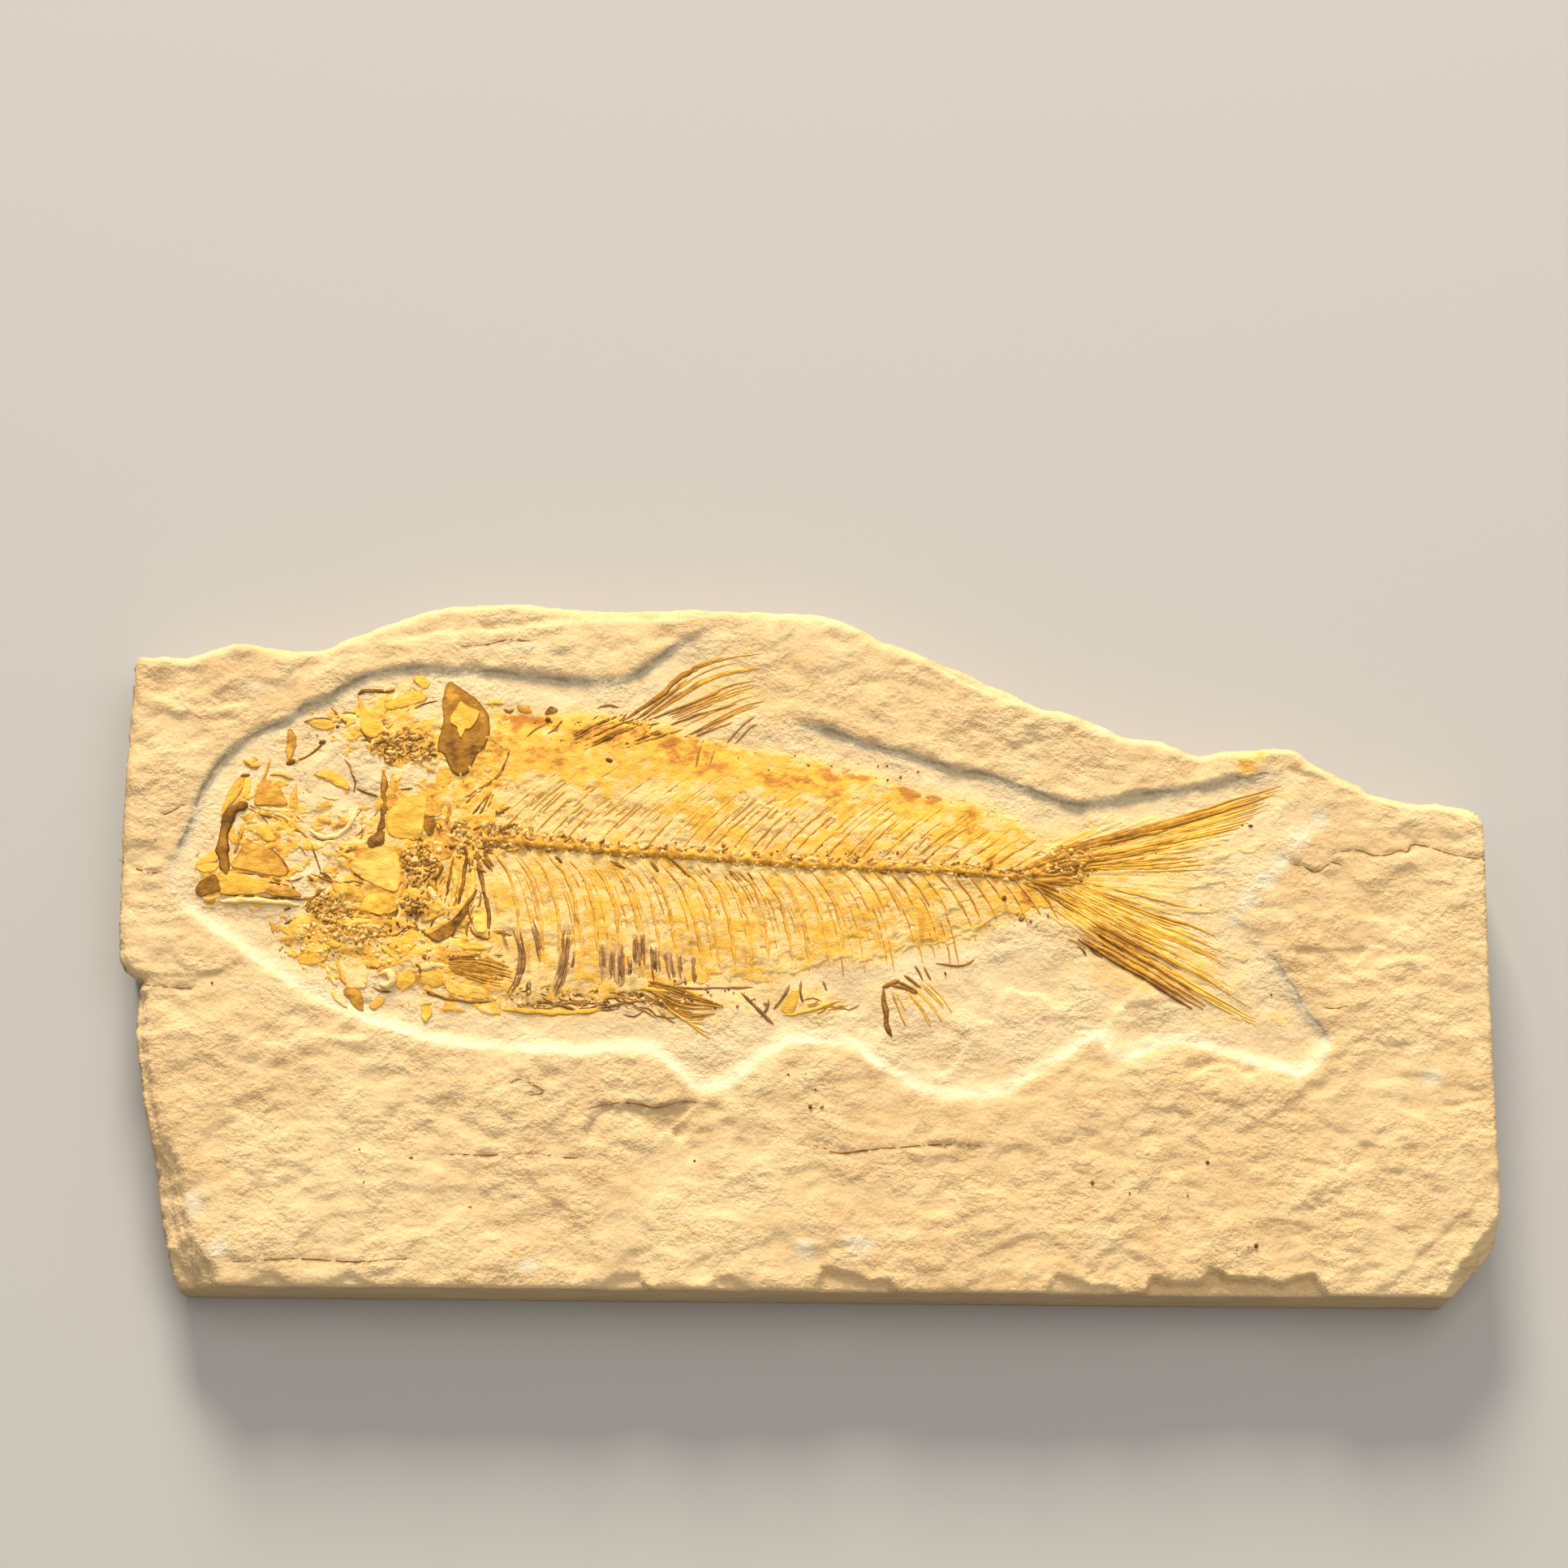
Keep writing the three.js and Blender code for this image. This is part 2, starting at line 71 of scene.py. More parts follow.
def make_piece(name, points, quads, triangles, attributes, material, slot, *nodes):
    """A mesh object from points in mm on the face: four-sided and three-sided faces, one number for
    each point under each attribute's name, a material, and the CAD nodes that it stands for."""
    mesh = bpy.data.meshes.new(name)
    corners = np.concatenate([quads.ravel(), triangles.ravel()])
    counts = np.concatenate([np.full(len(quads), 4), np.full(len(triangles), 3)])
    starts = np.concatenate([[0], np.cumsum(counts)[:-1]])
    mesh.vertices.add(len(points))
    mesh.vertices.foreach_set("co", ((points + datum) / PER_METRE).astype(np.float32).ravel())
    mesh.loops.add(len(corners))
    mesh.loops.foreach_set("vertex_index", corners.astype(np.int32))
    mesh.polygons.add(len(counts))
    mesh.polygons.foreach_set("loop_start", starts.astype(np.int32))
    mesh.polygons.foreach_set("use_smooth", np.ones(len(counts), bool))
    for label, values in attributes.items():
        layer = mesh.attributes.new(label, "FLOAT", "POINT")
        layer.data.foreach_set("value", values.astype(np.float32).ravel())
    mesh.update(calc_edges=True)
    mesh.validate()
    mesh.materials.append(material)
    piece = bpy.data.objects.new(name, mesh)
    bpy.context.scene.collection.objects.link(piece)
    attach(piece, "root")
    if nodes:
        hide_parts(*nodes)
    print(f"{name}: {2 * len(quads) + len(triangles)} triangles")


# %% [markdown]
# ## Tables of places
#
# Most of the fish is places given on the face. A list of them is kept as text that reads like a
# table: commas part the numbers of a row, blanks part the rows, and semicolons part the lines.

# %% Reading tables
def rows(text):
    """An array from text, with a row for each word and a column for each number in it."""
    return np.array([[float(number) for number in word.split(",")] for word in text.split()])


def lines(text):
    """A list of such arrays, one for each part between semicolons."""
    return [rows(part) for part in text.split(";")]


# %% [markdown]
# ## Noise
#
# Stone never repeats. Noise here is the usual gradient kind: each corner of a square lattice gets a
# random slope, and the height between the corners is a smooth blend of the four slopes. It is worked
# out from whole-number arithmetic, so it comes out the same each time, and it takes whole arrays.

# %% Noise functions
def scatter(ix, iy, seed):
    """A repeatable number from 0 to 1 for each whole-numbered place, by mixing its bits."""
    mixed = (ix * 374761393 + iy * 668265263 + seed * 974634777) & 0xFFFFFFFF
    mixed = ((mixed ^ (mixed >> 13)) * 1274126177) & 0xFFFFFFFF
    return ((mixed ^ (mixed >> 16)) & 0xFFFFFF) / 0xFFFFFF


def noise(x, y, seed):
    """Gradient noise, about -1 to 1: the corners' slopes times the way to each corner, blended by
    the curve 6t^5 - 15t^4 + 10t^3."""
    ix, iy = np.floor(x).astype(np.int64), np.floor(y).astype(np.int64)
    fx, fy = x - ix, y - iy
    corner = []
    for dx, dy in ((0, 0), (1, 0), (0, 1), (1, 1)):
        turn = 2 * np.pi * scatter(ix + dx, iy + dy, seed)
        corner.append(np.cos(turn) * (fx - dx) + np.sin(turn) * (fy - dy))
    sx, sy = (t * t * t * (t * (6 * t - 15) + 10) for t in (fx, fy))
    lower = corner[0] + sx * (corner[1] - corner[0])
    upper = corner[2] + sx * (corner[3] - corner[2])
    return 1.5 * (lower + sy * (upper - lower))


def rough(x, y, seed, octaves=3, gain=0.5):
    """Noise at several scales summed, each twice as fine and gain times as high as the last."""
    total = sum(gain**k * noise(x * 2**k, y * 2**k, seed + k) for k in range(octaves))
    return total / sum(gain**k for k in range(octaves))


def ease(low, high, value):
    """0 below low, 1 above high, and the S curve 3t^2 - 2t^3 between."""
    t = np.clip((value - low) / (high - low), 0, 1)
    return t * t * (3 - 2 * t)


def terraces(value, riser):
    """A height turned into steps of 1: flat treads, with risers that take the given share."""
    tread = np.floor(value)
    return tread + ease(1 - riser, 1, value - tread)


def crackle(x, y, seed):
    """Crushed ground: every lattice square holds one random point, and a place belongs to the nearest.
    Returns how much nearer that one is than the next, 0 in the gaps, and the point's own number."""
    ix, iy = np.floor(x).astype(np.int64), np.floor(y).astype(np.int64)
    first, second = np.full(np.shape(x), 9.0), np.full(np.shape(x), 9.0)
    number = np.zeros(np.shape(x))
    for dx in (-1, 0, 1):
        for dy in (-1, 0, 1):
            px = ix + dx + scatter(ix + dx, iy + dy, seed)
            py = iy + dy + scatter(ix + dx, iy + dy, seed + 1)
            gap = np.hypot(x - px, y - py)
            closer = gap < first
            second = np.where(closer, first, np.minimum(second, gap))
            number = np.where(closer, scatter(ix + dx, iy + dy, seed + 2), number)
            first = np.where(closer, gap, first)
    return second - first, number


# %% [markdown]
# ## Lines on the face
#
# Cracks, ledges, walls and the broken rim are all lines given on the face, and the stone changes
# with the distance to them. For each line the nearest of its stretches gives three things: how far
# off a place is, how far along the line it lies, and on which side.

# %% Distance to a line
def near_line(line, x, y, closed=False):
    """For each place: the distance to the nearest stretch of a line, how far along the line that is,
    counted in its points, and the side, +1 to the left of the line's direction and -1 to the right."""
    ends = np.roll(line, -1, axis=0) if closed else line[1:]
    nearest = np.full(np.shape(x), 1e9)
    along = np.zeros(np.shape(x))
    side = np.ones(np.shape(x))
    for i, (a, b) in enumerate(zip(line, ends)):
        run = b[:2] - a[:2]
        ax, ay = x - a[0], y - a[1]
        t = np.clip((ax * run[0] + ay * run[1]) / (run @ run), 0, 1)
        gap = np.hypot(ax - t * run[0], ay - t * run[1])
        closer = gap < nearest
        nearest = np.where(closer, gap, nearest)
        along = np.where(closer, i + t, along)
        side = np.where(closer, np.sign(run[0] * ay - run[1] * ax), side)
    return nearest, along, side


def inside(line, x, y):
    """True where a level ray to the right crosses a closed line an odd number of times."""
    within = np.zeros(np.shape(x), bool)
    for a, b in zip(line, np.roll(line, -1, axis=0)):
        between = (a[1] > y) != (b[1] > y)
        rise = b[1] - a[1] if b[1] != a[1] else 1e-9
        within ^= between & (x < a[0] + (y - a[1]) / rise * (b[0] - a[0]))
    return within


def depth_within(line, x, y):
    """Distance to a closed line in mm, positive inside it and negative outside."""
    gap, along, _ = near_line(line, x, y, closed=True)
    return np.where(inside(line, x, y), gap, -gap), along


def smooth_line(points, count, closed=False):
    """A curve through the points (Catmull and Rom's): between two points a cubic whose slope at each
    point is half the way from the point before to the point after. Count places along it."""
    last = len(points) if closed else len(points) - 1
    t = np.linspace(0, last, count, endpoint=not closed)
    i = np.minimum(t.astype(int), last - 1)
    f = (t - i)[:, None]
    near = [i + k if closed else np.clip(i + k, 0, len(points) - 1) for k in (-1, 0, 1, 2)]
    p, q, r, s = (points[k % len(points)] for k in near)
    square, cube = 2 * p - 5 * q + 4 * r - s, 3 * q - p - 3 * r + s
    return 0.5 * (2 * q + (r - p) * f + square * f**2 + cube * f**3)


# %% [markdown]
# ## The slab's outline
#
# Four sides. The lower edge and the right-hand end were sawn and are straight, with small chips and
# one corner knocked off. The top and the left broke, so their points wander, and a little noise
# between the points makes them ragged.

# %% The outline's four sides
BROKEN_TOP = rows("""
-70.05,28.9 -69.6,30.3 -68,30.15 -66.9,30.35 -64.5,30.2 -62.9,30.65 -61.8,31.2 -59.9,31.75 -58.1,31.75
-56.7,31.45 -53.5,31.05 -50.7,31.2 -49.4,31.6 -48.5,32.3 -45.9,33.2 -44.7,33.8 -41.9,35 -39.9,35.65
-37.6,36.25 -35,36.4 -29.1,36.5 -26.8,36.25 -21,35.95 -18.5,35.95 -12,36.1 -5.1,35.9 1.8,35.6 3.6,35
5.9,33.95 8,32.7 9.4,32.4 11.2,31.65 14.9,30.1 16.5,29.55 18.9,28.2 20.7,27.6 22.1,27 23.2,26.2
24.7,25.35 26.7,25.2 28.1,24.8 30.2,24 32.5,22.75 34.1,22.3 37.2,22.05 37.9,21.55 39,21.3 40.4,20.65
41.2,20.57 42.9,20.95 44.2,21.1 47,21.15 47.9,21.4 49.8,21.4 50.9,21.25 52.1,20.15 54.6,18.75 57.4,17.5
58.1,16.7 59.7,16.3 61.5,15.8 63.4,15.5 65.2,15.65 66.2,15.35 67.8,15.15 69.2,14.7
""")
BROKEN_LEFT = rows("""
-62.4,-35.7 -63.3,-33.3 -63.7,-31.5 -64.2,-29.9 -64.5,-27.5 -65,-25.5 -65.2,-23.2 -65.6,-21.3 -66.5,-17.6
-67.2,-13.5 -67.5,-11.6 -67.8,-9.8 -67.7,-6.5 -67.4,-5.3 -67.35,-4.7 -68.5,-4.1 -69.3,-3.5 -69.8,-2.6
-70.1,1 -70.35,11.6 -70.3,16.2 -70.2,23.2 -70.05,28.9
""")
# The left side's point in the notch. Below it the side broke off at a slope.
NOTCH = 14
SAWN_END = rows("""
64.8,-35.7 65.7,-34.8 66.6,-33.8 67.8,-32.6 68.7,-31.5 69.4,-30.3 69.6,-28.7 69.9,-25.5 69.85,-18
69.75,-4 69.9,8 69.85,13 69.2,14.7
""")
SAWN_LOWER = rows("""
-62.4,-35.7 64.8,-35.7
""")


def side_at(points, share, axis):
    """A side's place at each share of its extent along one axis, straight between its points."""
    reach = np.abs(np.diff(points[:, axis])) + 0.3 * np.abs(np.diff(points[:, 1 - axis]))
    travelled = np.concatenate([[0], np.cumsum(reach)])
    return np.stack([np.interp(share * travelled[-1], travelled, points[:, k]) for k in (0, 1)], axis=-1)


def ragged(place, push, size):
    """Places moved along one axis by fine noise, in and never out: the broken stone's ragged edge."""
    wander = rough(place[:, 0] / 1.1, place[:, 1] / 1.1, 71, 3)
    return place + np.array(push) * size * (1 + wander[:, None]) / 2


print("places picked on the broken sides:", len(BROKEN_TOP) + len(BROKEN_LEFT))

# %% [markdown]
# ## The scraped bed
#
# The bed's wall is a closed line around the fish. Each of its points says how upright the wall is
# there: 1 over the back and along the belly, nearly 0 behind the back fin, where the scraping fades
# out. Past the wall the ground falls quickly, then rises gently towards the fish, because a scraper
# digs a groove first. The lower wall is wider than the upper one.

# %% The wall line and the bed's depth
WALL = rows("""
-65.2,7.2,0.6 -63.6,11,0.8 -62.2,15.6,1 -60.6,18.6,1 -58.5,20.7,1 -56,22.2,1 -53.9,23.3,1 -51.9,24.7,1
-49.5,25.9,1 -47.5,27.1,1 -45.4,28.3,1 -42.8,28.9,1 -40,29.2,1 -36,29,1 -29.8,28.6,1 -25,27.9,1
-22.4,27.8,1 -20,27.9,1 -17.8,28.6,1 -15,30.6,0.9 -13.4,32,0.8 -11.8,32.9,0.5 -9.6,34,0.1 -6,33.6,0
-3,30,0 -1.6,25,0 -0.5,23.4,0.5 1.8,23,1 4.1,22.1,1 6.6,21.3,1 9.4,20.6,1 12.6,19.6,1 16.1,18.5,1
19.5,17.9,1 22.1,16.9,1 24.4,16.1,1 26.9,15.1,1 28.3,14.8,1 31,15.3,1 33.6,15.9,1 37.8,16.5,1 41.2,17,1
43.8,17.8,0.9 47,18.3,0.7 49.8,18.9,0.4 53.5,18.2,0.1 54.4,15,0.2 52.5,13,0.35 50.9,11.4,0.35
49.3,9.3,0.35 47.5,7.2,0.35 45.2,4.5,0.35 44,2.6,0.3 45,1.9,0.4 47,0.5,0.5 48.2,-1.3,0.6 49.3,-3.4,0.7
50.5,-5.2,0.8 51.2,-6.8,0.9 52.5,-8.2,0.9 53.3,-9.6,1 52.8,-11,1 51.5,-12.5,1 50.2,-13.4,1 48.5,-12.7,1
46.5,-12.3,1 44.2,-11.6,0.9 41.9,-10.9,0.9 40.1,-10.2,0.9 38,-9.9,0.9 35.9,-10.2,0.8 34.3,-10.9,0.7
32.9,-12,0.6 31.2,-11.6,0.5 30.2,-9.5,0.8 28.8,-9.9,0.9 27.6,-10.7,1 26.5,-11.6,1 25.1,-12.4,1
23.5,-13.4,1 22.3,-14,1 21.4,-15,1 19.8,-15.5,1 18.2,-15.8,1 14,-15.8,1 12.6,-15.4,1 10.5,-14.5,1
8.5,-13.2,1 7.1,-12.1,1 5.7,-10.8,1 4.1,-10.4,1 0.9,-10.2,1 -1.4,-10.3,1 -3.9,-11.9,1 -6,-13.6,1
-7.8,-14.9,1 -9.9,-15.3,1 -11.1,-14.9,1 -12.2,-13.7,1 -13.8,-12.3,1 -15.5,-11.3,1 -18,-11.2,1
-22.2,-11.7,1 -26,-11.4,1 -33.7,-11.2,1 -38.7,-10.2,1 -44,-8.6,1 -50,-6,1 -54.6,-3.1,1 -56.5,-1.7,1
-61,1.5,0.9 -63.4,3.1,0.7 -64.8,4.9,0.5
""")
UPPER_DEPTH = 0.62
LOWER_DEPTH = 0.72
UPPER_WALL_RUN = 1.0
LOWER_WALL_RUN = 2.3


def wall_measures(x, y):
    """Distance inside the wall line in mm, and how upright the wall is at the nearest point."""
    inset, along = depth_within(WALL[:, :2], x, y)
    upright = np.interp(along, np.arange(len(WALL) + 1), np.append(WALL[:, 2], WALL[0, 2]))
    return inset, upright


def bed_depth(x, y, inset, upright):
    """Depth scraped away: an S curve across the wall, less the rise of the ground towards the fish,
    blended with a long slow ramp where the wall fades."""
    ragged_inset = inset + 0.5 * rough(x / 1.8, y / 1.4, 31, 4, 0.6)
    run = np.interp(y, [-2, 8], [LOWER_WALL_RUN, UPPER_WALL_RUN]) * (1 + 0.5 * noise(x / 5, y / 5, 33))
    depth = np.interp(y, [-2, 8], [LOWER_DEPTH, UPPER_DEPTH]) * (1 + 0.3 * noise(x / 4, y / 4, 34))
    wall = depth * ease(-0.5, 0.5, ragged_inset / run)
    ramp = 0.6 * depth * ease(-1, 9, inset)
    rise = 0.25 * ease(1.2, 7, inset)
    return upright * wall + (1 - upright) * ramp - rise * ease(0, 1, upright + 0.3)


# %% [markdown]
# ## Ledges, cracks and breaks
#
# Split limestone comes away in thin leaves. A ledge is the torn edge of a leaf: the ground drops on
# one side of a line and comes back slowly. A crack is a narrow groove. The left side below the notch
# and the lower right corner broke off at a slope, and along the lower edge small flakes are missing.

# %% Lines of damage
# Ledges: drop and reach in mm, and a line with the lower ground to its left.
LEDGES = [(drop, reach, rows(line)) for drop, reach, line in (
    (0.35, 5, "-10.2,-16.7 -15,-17.4 -17.5,-17 -20.3,-17.3 -21.5,-18.8 -22.2,-21"),
    (0.3, 3, "-14.5,-21 -13.2,-19.6 -12.4,-20.8"),
    (0.3, 3, "11.9,-13.9 13.8,-13.9 15.2,-13.1 16.5,-10.9 17.2,-9.5"),
    (0.25, 3, "17.5,-8.2 19.3,-8.2 20,-6 20.9,-4.7 23,-5.2 24.6,-5.4 25.8,-7.2"),
    (0.3, 4, "30.2,-9.5 31.6,-7.4 32.5,-6.3 32.8,-8.4 32.9,-12"),
    (0.3, 4, "39,-14 41,-12.8 43,-12.5 45,-13.8 46,-13.1"),
    (0.2, 3, "55.8,-2.3 57,-0.9 58,0 59.8,0"),
    (0.2, 2, "60.5,1.4 61,2 62,2.1 62.8,1.3"),
    (0.2, 2, "49,-1.3 50.5,-0.9 52,-1.3"),
    (0.2, 2, "53,-3.3 54.8,-3.2 56,-4"),
    (0.2, 2, "54.9,-23.2 55.4,-22.7 57,-22.9"),
    (0.25, 3, "-55,-11 -52,-11.5 -50.5,-10 -47,-10.5 -43.3,-10.5"),
    (0.2, 2, "3.4,-7.9 4.2,-7.05 5.7,-8"),
    (0.2, 2, "5.2,-9 6.9,-9 7.5,-9.8"),
    (0.3, 6, "-44,31.5 -38,33 -31,33.2 -24,34.3 -18,34.6 -12,34.4"),
    (0.3, 5, "12,30.3 16,28 20,26.3 24,24.9"),
    (0.2, 3, "-68.5,26 -65,24.5 -61,24.3 -57,25.2"),
)]
# Flakes: thickness in mm, and a line; the stone between it and the sawn edge is missing.
LOWER_FLAKES = [(drop, rows(line)) for drop, line in (
    (1.1, "34.2,-35.9 35,-34 37,-34.6 40,-34.5 41,-33 42.5,-34 46,-34.2 "
     "47.8,-34.8 49,-34 51,-33.6 52.5,-36"),
    (0.7, "1.5,-36 2.2,-33.3 5,-34 7,-34.8 9,-34.7 9.6,-36"),
    (0.5, "24.4,-36 25.2,-33.8 27,-34.3 29,-35 31.4,-35 31.8,-36"),
    (0.5, "-20.4,-36 -18.5,-34.4 -16,-34.2 -14.8,-36"),
    (0.4, "-9,-36 -8.5,-34.4 -7,-34.3 -4.6,-36"),
    (0.5, "-55.6,-36 -52.5,-34.3 -50,-36"),
    (0.4, "-48,-36 -45,-34.4 -41.6,-36"),
)]
CRACKS = lines("""
54,9.6 55,10.1 57.2,10.25 58.5,9.7 60,9.8 61.2,10.3 62,10.1 62.7,11 65.5,10.2 67.5,9.6 70,9.3; 50,8.8
51.2,8.5 52.6,7.9 53.5,8.5 54.5,9 55.3,8.6; 53,-6.3 54,-6.5 55.3,-6.2; -70.4,8.3 -68.5,7.2 -67,6.6
-66.1,6.7; -66,12.8 -63.9,14; -67.5,-4.8 -66,-5.2 -62,-5.5; -36,-22.3 -33,-22.4 -27,-22.2 -23,-22.6
-21.8,-22.3; -21.8,-17.6 -19.5,-17 -17,-16.9 -14.5,-17.3 -12.5,-16.8 -10.6,-16.7; -36,31.5 -33.2,31.6
-31,32.2 -28.6,32; 0,-21 2,-21.2 3.5,-21.8 6,-21.6 8.5,-21.3 14,-20.9 18,-21; -29.4,-15 -28.4,-14.6
-27,-15.2 -26,-16 -28.5,-16.3; -56.5,-33.4 -50,-33 -44,-33.3 -38.5,-32.8
""")
LEFT_BREAK = rows("""
-57.2,-36 -58.1,-33.3 -60.2,-30.5 -60.8,-28.7 -61.1,-25.9 -61.8,-22.9 -63.4,-20.6 -64.3,-18.1 -65.2,-13.9
-65.9,-9.8 -65.8,-6 -67.6,-4.6
""")
CORNER_BREAK = rows("""
70,-27.2 68,-29.4 65.9,-31.8 65,-33 63.6,-36
""")
LEFT_SLOPE = 0.75
CORNER_SLOPE = 1.2
CRACK_DEPTH = 0.15
CRACK_HALF_WIDTH = 0.4
print("ledges:", len(LEDGES), "flakes:", len(LOWER_FLAKES), "cracks:", len(CRACKS))

# %% [markdown]
# ## What the damage takes away
#
# Each kind of damage is a drop in mm, worked out for whole arrays of places, so that the height of
# the stone only has to subtract it. Noise bends every line a little, as stone never tears smoothly.

# %% Drops and gaps
def taper(along, line):
    """1 in the middle of a line and 0 at its two ends, from how far along it a place lies."""
    last = len(line) - 1
    return ease(0, 0.35, along) * ease(0, 0.35, last - along) if last > 1 else np.ones_like(along)


def ledge_drop(x, y):
    """The sum over all ledges of their drop, sharp on the low side and dying away with distance, and a
    mark that is 1 on the torn edges, where the finish paints powder and a painted highlight."""
    total, torn = np.zeros_like(x), np.zeros_like(x)
    for drop, reach, line in LEDGES:
        gap, along, side = near_line(line, x, y)
        offset = side * gap + 0.25 * rough(x / 0.9, y / 0.9, 41, 2)
        total += 1.6 * drop * ease(-0.1, 0.3, offset) * np.exp(-gap / reach) * taper(along, line)
        torn = np.maximum(torn, (1 - ease(0, 0.4, np.abs(offset - 0.1))) * taper(along, line))
    return total, torn


def flake_drop(x, y):
    """The flakes missing along the lower edge, each a hollow with a torn upper side."""
    total = np.zeros_like(x)
    for drop, line in LOWER_FLAKES:
        gap, _, _ = near_line(line, x, y)
        offset = np.where(inside(line, x, y), gap, -gap) + 0.15 * rough(x / 0.8, y / 0.8, 43, 2)
        total += drop * ease(-0.15, 0.3, offset)
    return total


def crack_gap(x, y):
    """Distance to the nearest crack in mm, wandering a little."""
    wander_x = x + 0.2 * noise(x / 0.7, y / 0.7, 51)
    wander_y = y + 0.3 * noise(x / 0.7, y / 0.7, 52)
    return np.min([near_line(line, wander_x, wander_y)[0] for line in CRACKS], axis=0)


def break_slope(x, y, line, slope):
    """Drop past a break's line, to the left of it: a slope with the torn edges of the leaves on it."""
    gap, _, side = near_line(line, x, y)
    offset = side * gap + 0.35 * rough(x / 1.6, y / 1.6, 61, 3)
    leaves = slope * np.maximum(offset, 0) * (1 + 0.25 * rough(x / 2, y / 2, 62, 2))
    return 0.35 * leaves + 0.65 * 0.8 * terraces(leaves / 0.8, 0.4), ease(-0.1, 0.4, offset)


# %% [markdown]
# ## The fish's body
#
# Between the line of the back and the line of the belly the ground swells up a little. Around the
# bones their iron has stained the stone yellow, and here and there a knock has bruised it white.

# %% Body lines and stains
BACK_LINE = rows("""
-34.5,24.5 -32.5,25 -27,24.7 -24,24.9 -20,24.9 -17.5,24.2 -14,23.7 -12,22.6 -9,21.8 -6,21.2 -3,20.6
0.5,20.2 3,19.2 6,18.9 8,18 10,17.4 13,16.5 16.1,15.8 18.5,15.2 20,14.6 22,13.6 24,12.6 26.5,11.2 29,9.6
""")
BELLY_LINE = rows("""
-36,-5.6 -30.9,-6.5 -27,-7.2 -20,-6.8 -17,-6.5 -14,-5.8 -12,-5.2 -6,-4.7 -3,-4.8 0,-3.6 3,-2.7 6.5,-2.6
8,-2.3 9.5,-1.8 10.5,-1 12.5,-0.8 15,-0.5 18,0.2 19.5,1.5 22.5,2.5 25.5,3.4 29,5.4
""")
BODY = np.concatenate([BACK_LINE, BELLY_LINE[::-1]])
# Stained places: x, y, reach in x and y, strength. Below 0 the place is bruised and whitish.
STAINS = rows("""
-41,12,3,4,0.9 -44,6,4.5,4,0.9 -45,-1,6,3,0.7 -41,21.5,4,2.5,0.7 -46,23,3,2,0.7 -56,8,4,3,0.6
-36.5,7,3,6,0.9 -35,-3,5,3,0.9 -55,14.5,3,2.5,0.6 -42,26,3,1.5,0.6 -51,0.5,3,2,0.6 -34,13,3,3,0.7
-32,19,3,4,0.6 -54,12,4,2,0.4 -48,12,4,3,0.25 35,11.5,9,2,0.8 35,6.5,6,4,0.7 36,-2.5,8,3,0.8 28,6,4,5,0.8
-9,26,7,3,0.6 -11,-7,4,2,0.7 0,-6.2,4,1.8,0.9 11,-5.5,3,2.5,0.4 -25,-7,8,1.2,0.8 45.6,19.3,1,0.8,3
47.2,20.5,0.7,0.5,2 -11.3,-30,1,0.8,0.5 -6,-5.4,2,1.4,0.5 48,16,3,0.7,0.5 44,-7.5,3,1,0.5
-30,23,5,1.5,0.5 -18,23,6,1.2,0.4 -57.5,5.5,4,1.5,0.6 -61,6,1.5,1.5,0.5 -36,18,3,5,0.4 5.8,-31,1.8,1,-1
0.3,-31.5,1.2,1,-1 -58,-32,1.2,1,-0.9 -60.5,-27.5,1.2,1.8,-0.9 -27,-33.5,1.3,0.8,-0.9
63.5,-13.5,1.6,1,-0.8 53,13.4,1.3,1.3,-0.9 50.9,11.4,1.3,1.2,-1 49,9,1.2,1.2,-1 47.3,6.9,1.2,1.2,-1
45.5,4.7,1.1,1.1,-0.9 44.2,2.8,1,0.9,-0.8 31,23,2,1,-0.6 -57,26.5,3,1.2,-0.5 -30,31.2,6,0.8,-0.5
-15,26.4,3,1,-0.4
""")
print("body outline points:", len(BODY), "stains:", len(STAINS))

# %% [markdown]
# ## The height of the stone
#
# The split face itself has three sizes of relief: broad swells, a scaly middle size where thin leaves
# end, drawn out along the slab, and grit. The bed is smoother, and the rim of a broken side is
# rounded off. All of this adds up to one height in millimetres above the slab's flat back.

# %% Height function
FACE = TOP - 0.42
BODY_SWELL = 0.3
BROKEN_ROUNDING = 0.9
SAWN_ROUNDING = 0.15
THINNEST = 0.8
GRAIN_TURN = np.radians(9)


def split_relief(x, y):
    """Relief of the split face: swells, large and small steps where leaves end, and crumbly grit, each
    stronger in some places than in others."""
    along = x * np.cos(GRAIN_TURN) + y * np.sin(GRAIN_TURN)
    across = y * np.cos(GRAIN_TURN) - x * np.sin(GRAIN_TURN)
    swell = 0.24 * rough(along / 22, across / 14, 1, 2)
    leaves = 0.17 * terraces(2.2 * rough(along / 9, across / 6, 4, 3, 0.45) + 3, 0.16) - 0.5
    flakes = 0.09 * terraces(2.2 * rough(along / 4, across / 3, 8, 2, 0.4) + 3, 0.25) - 0.27
    crumbs = 0.2 * rough(x / 2.6, y / 2, 12, 2, 0.5) * (0.8 + 0.6 * noise(x / 9, y / 6, 13))
    return swell + leaves + flakes * ease(-0.3, 0.3, noise(x / 8, y / 6, 11)) + crumbs


def stain_at(x, y):
    """How strongly a place is stained: the sum of strength exp(-(dx/reach)^2 - (dy/reach)^2)."""
    return sum(
        more * np.exp(-(((x - px) / rx) ** 2) - ((y - py) / ry) ** 2) for px, py, rx, ry, more in STAINS
    )


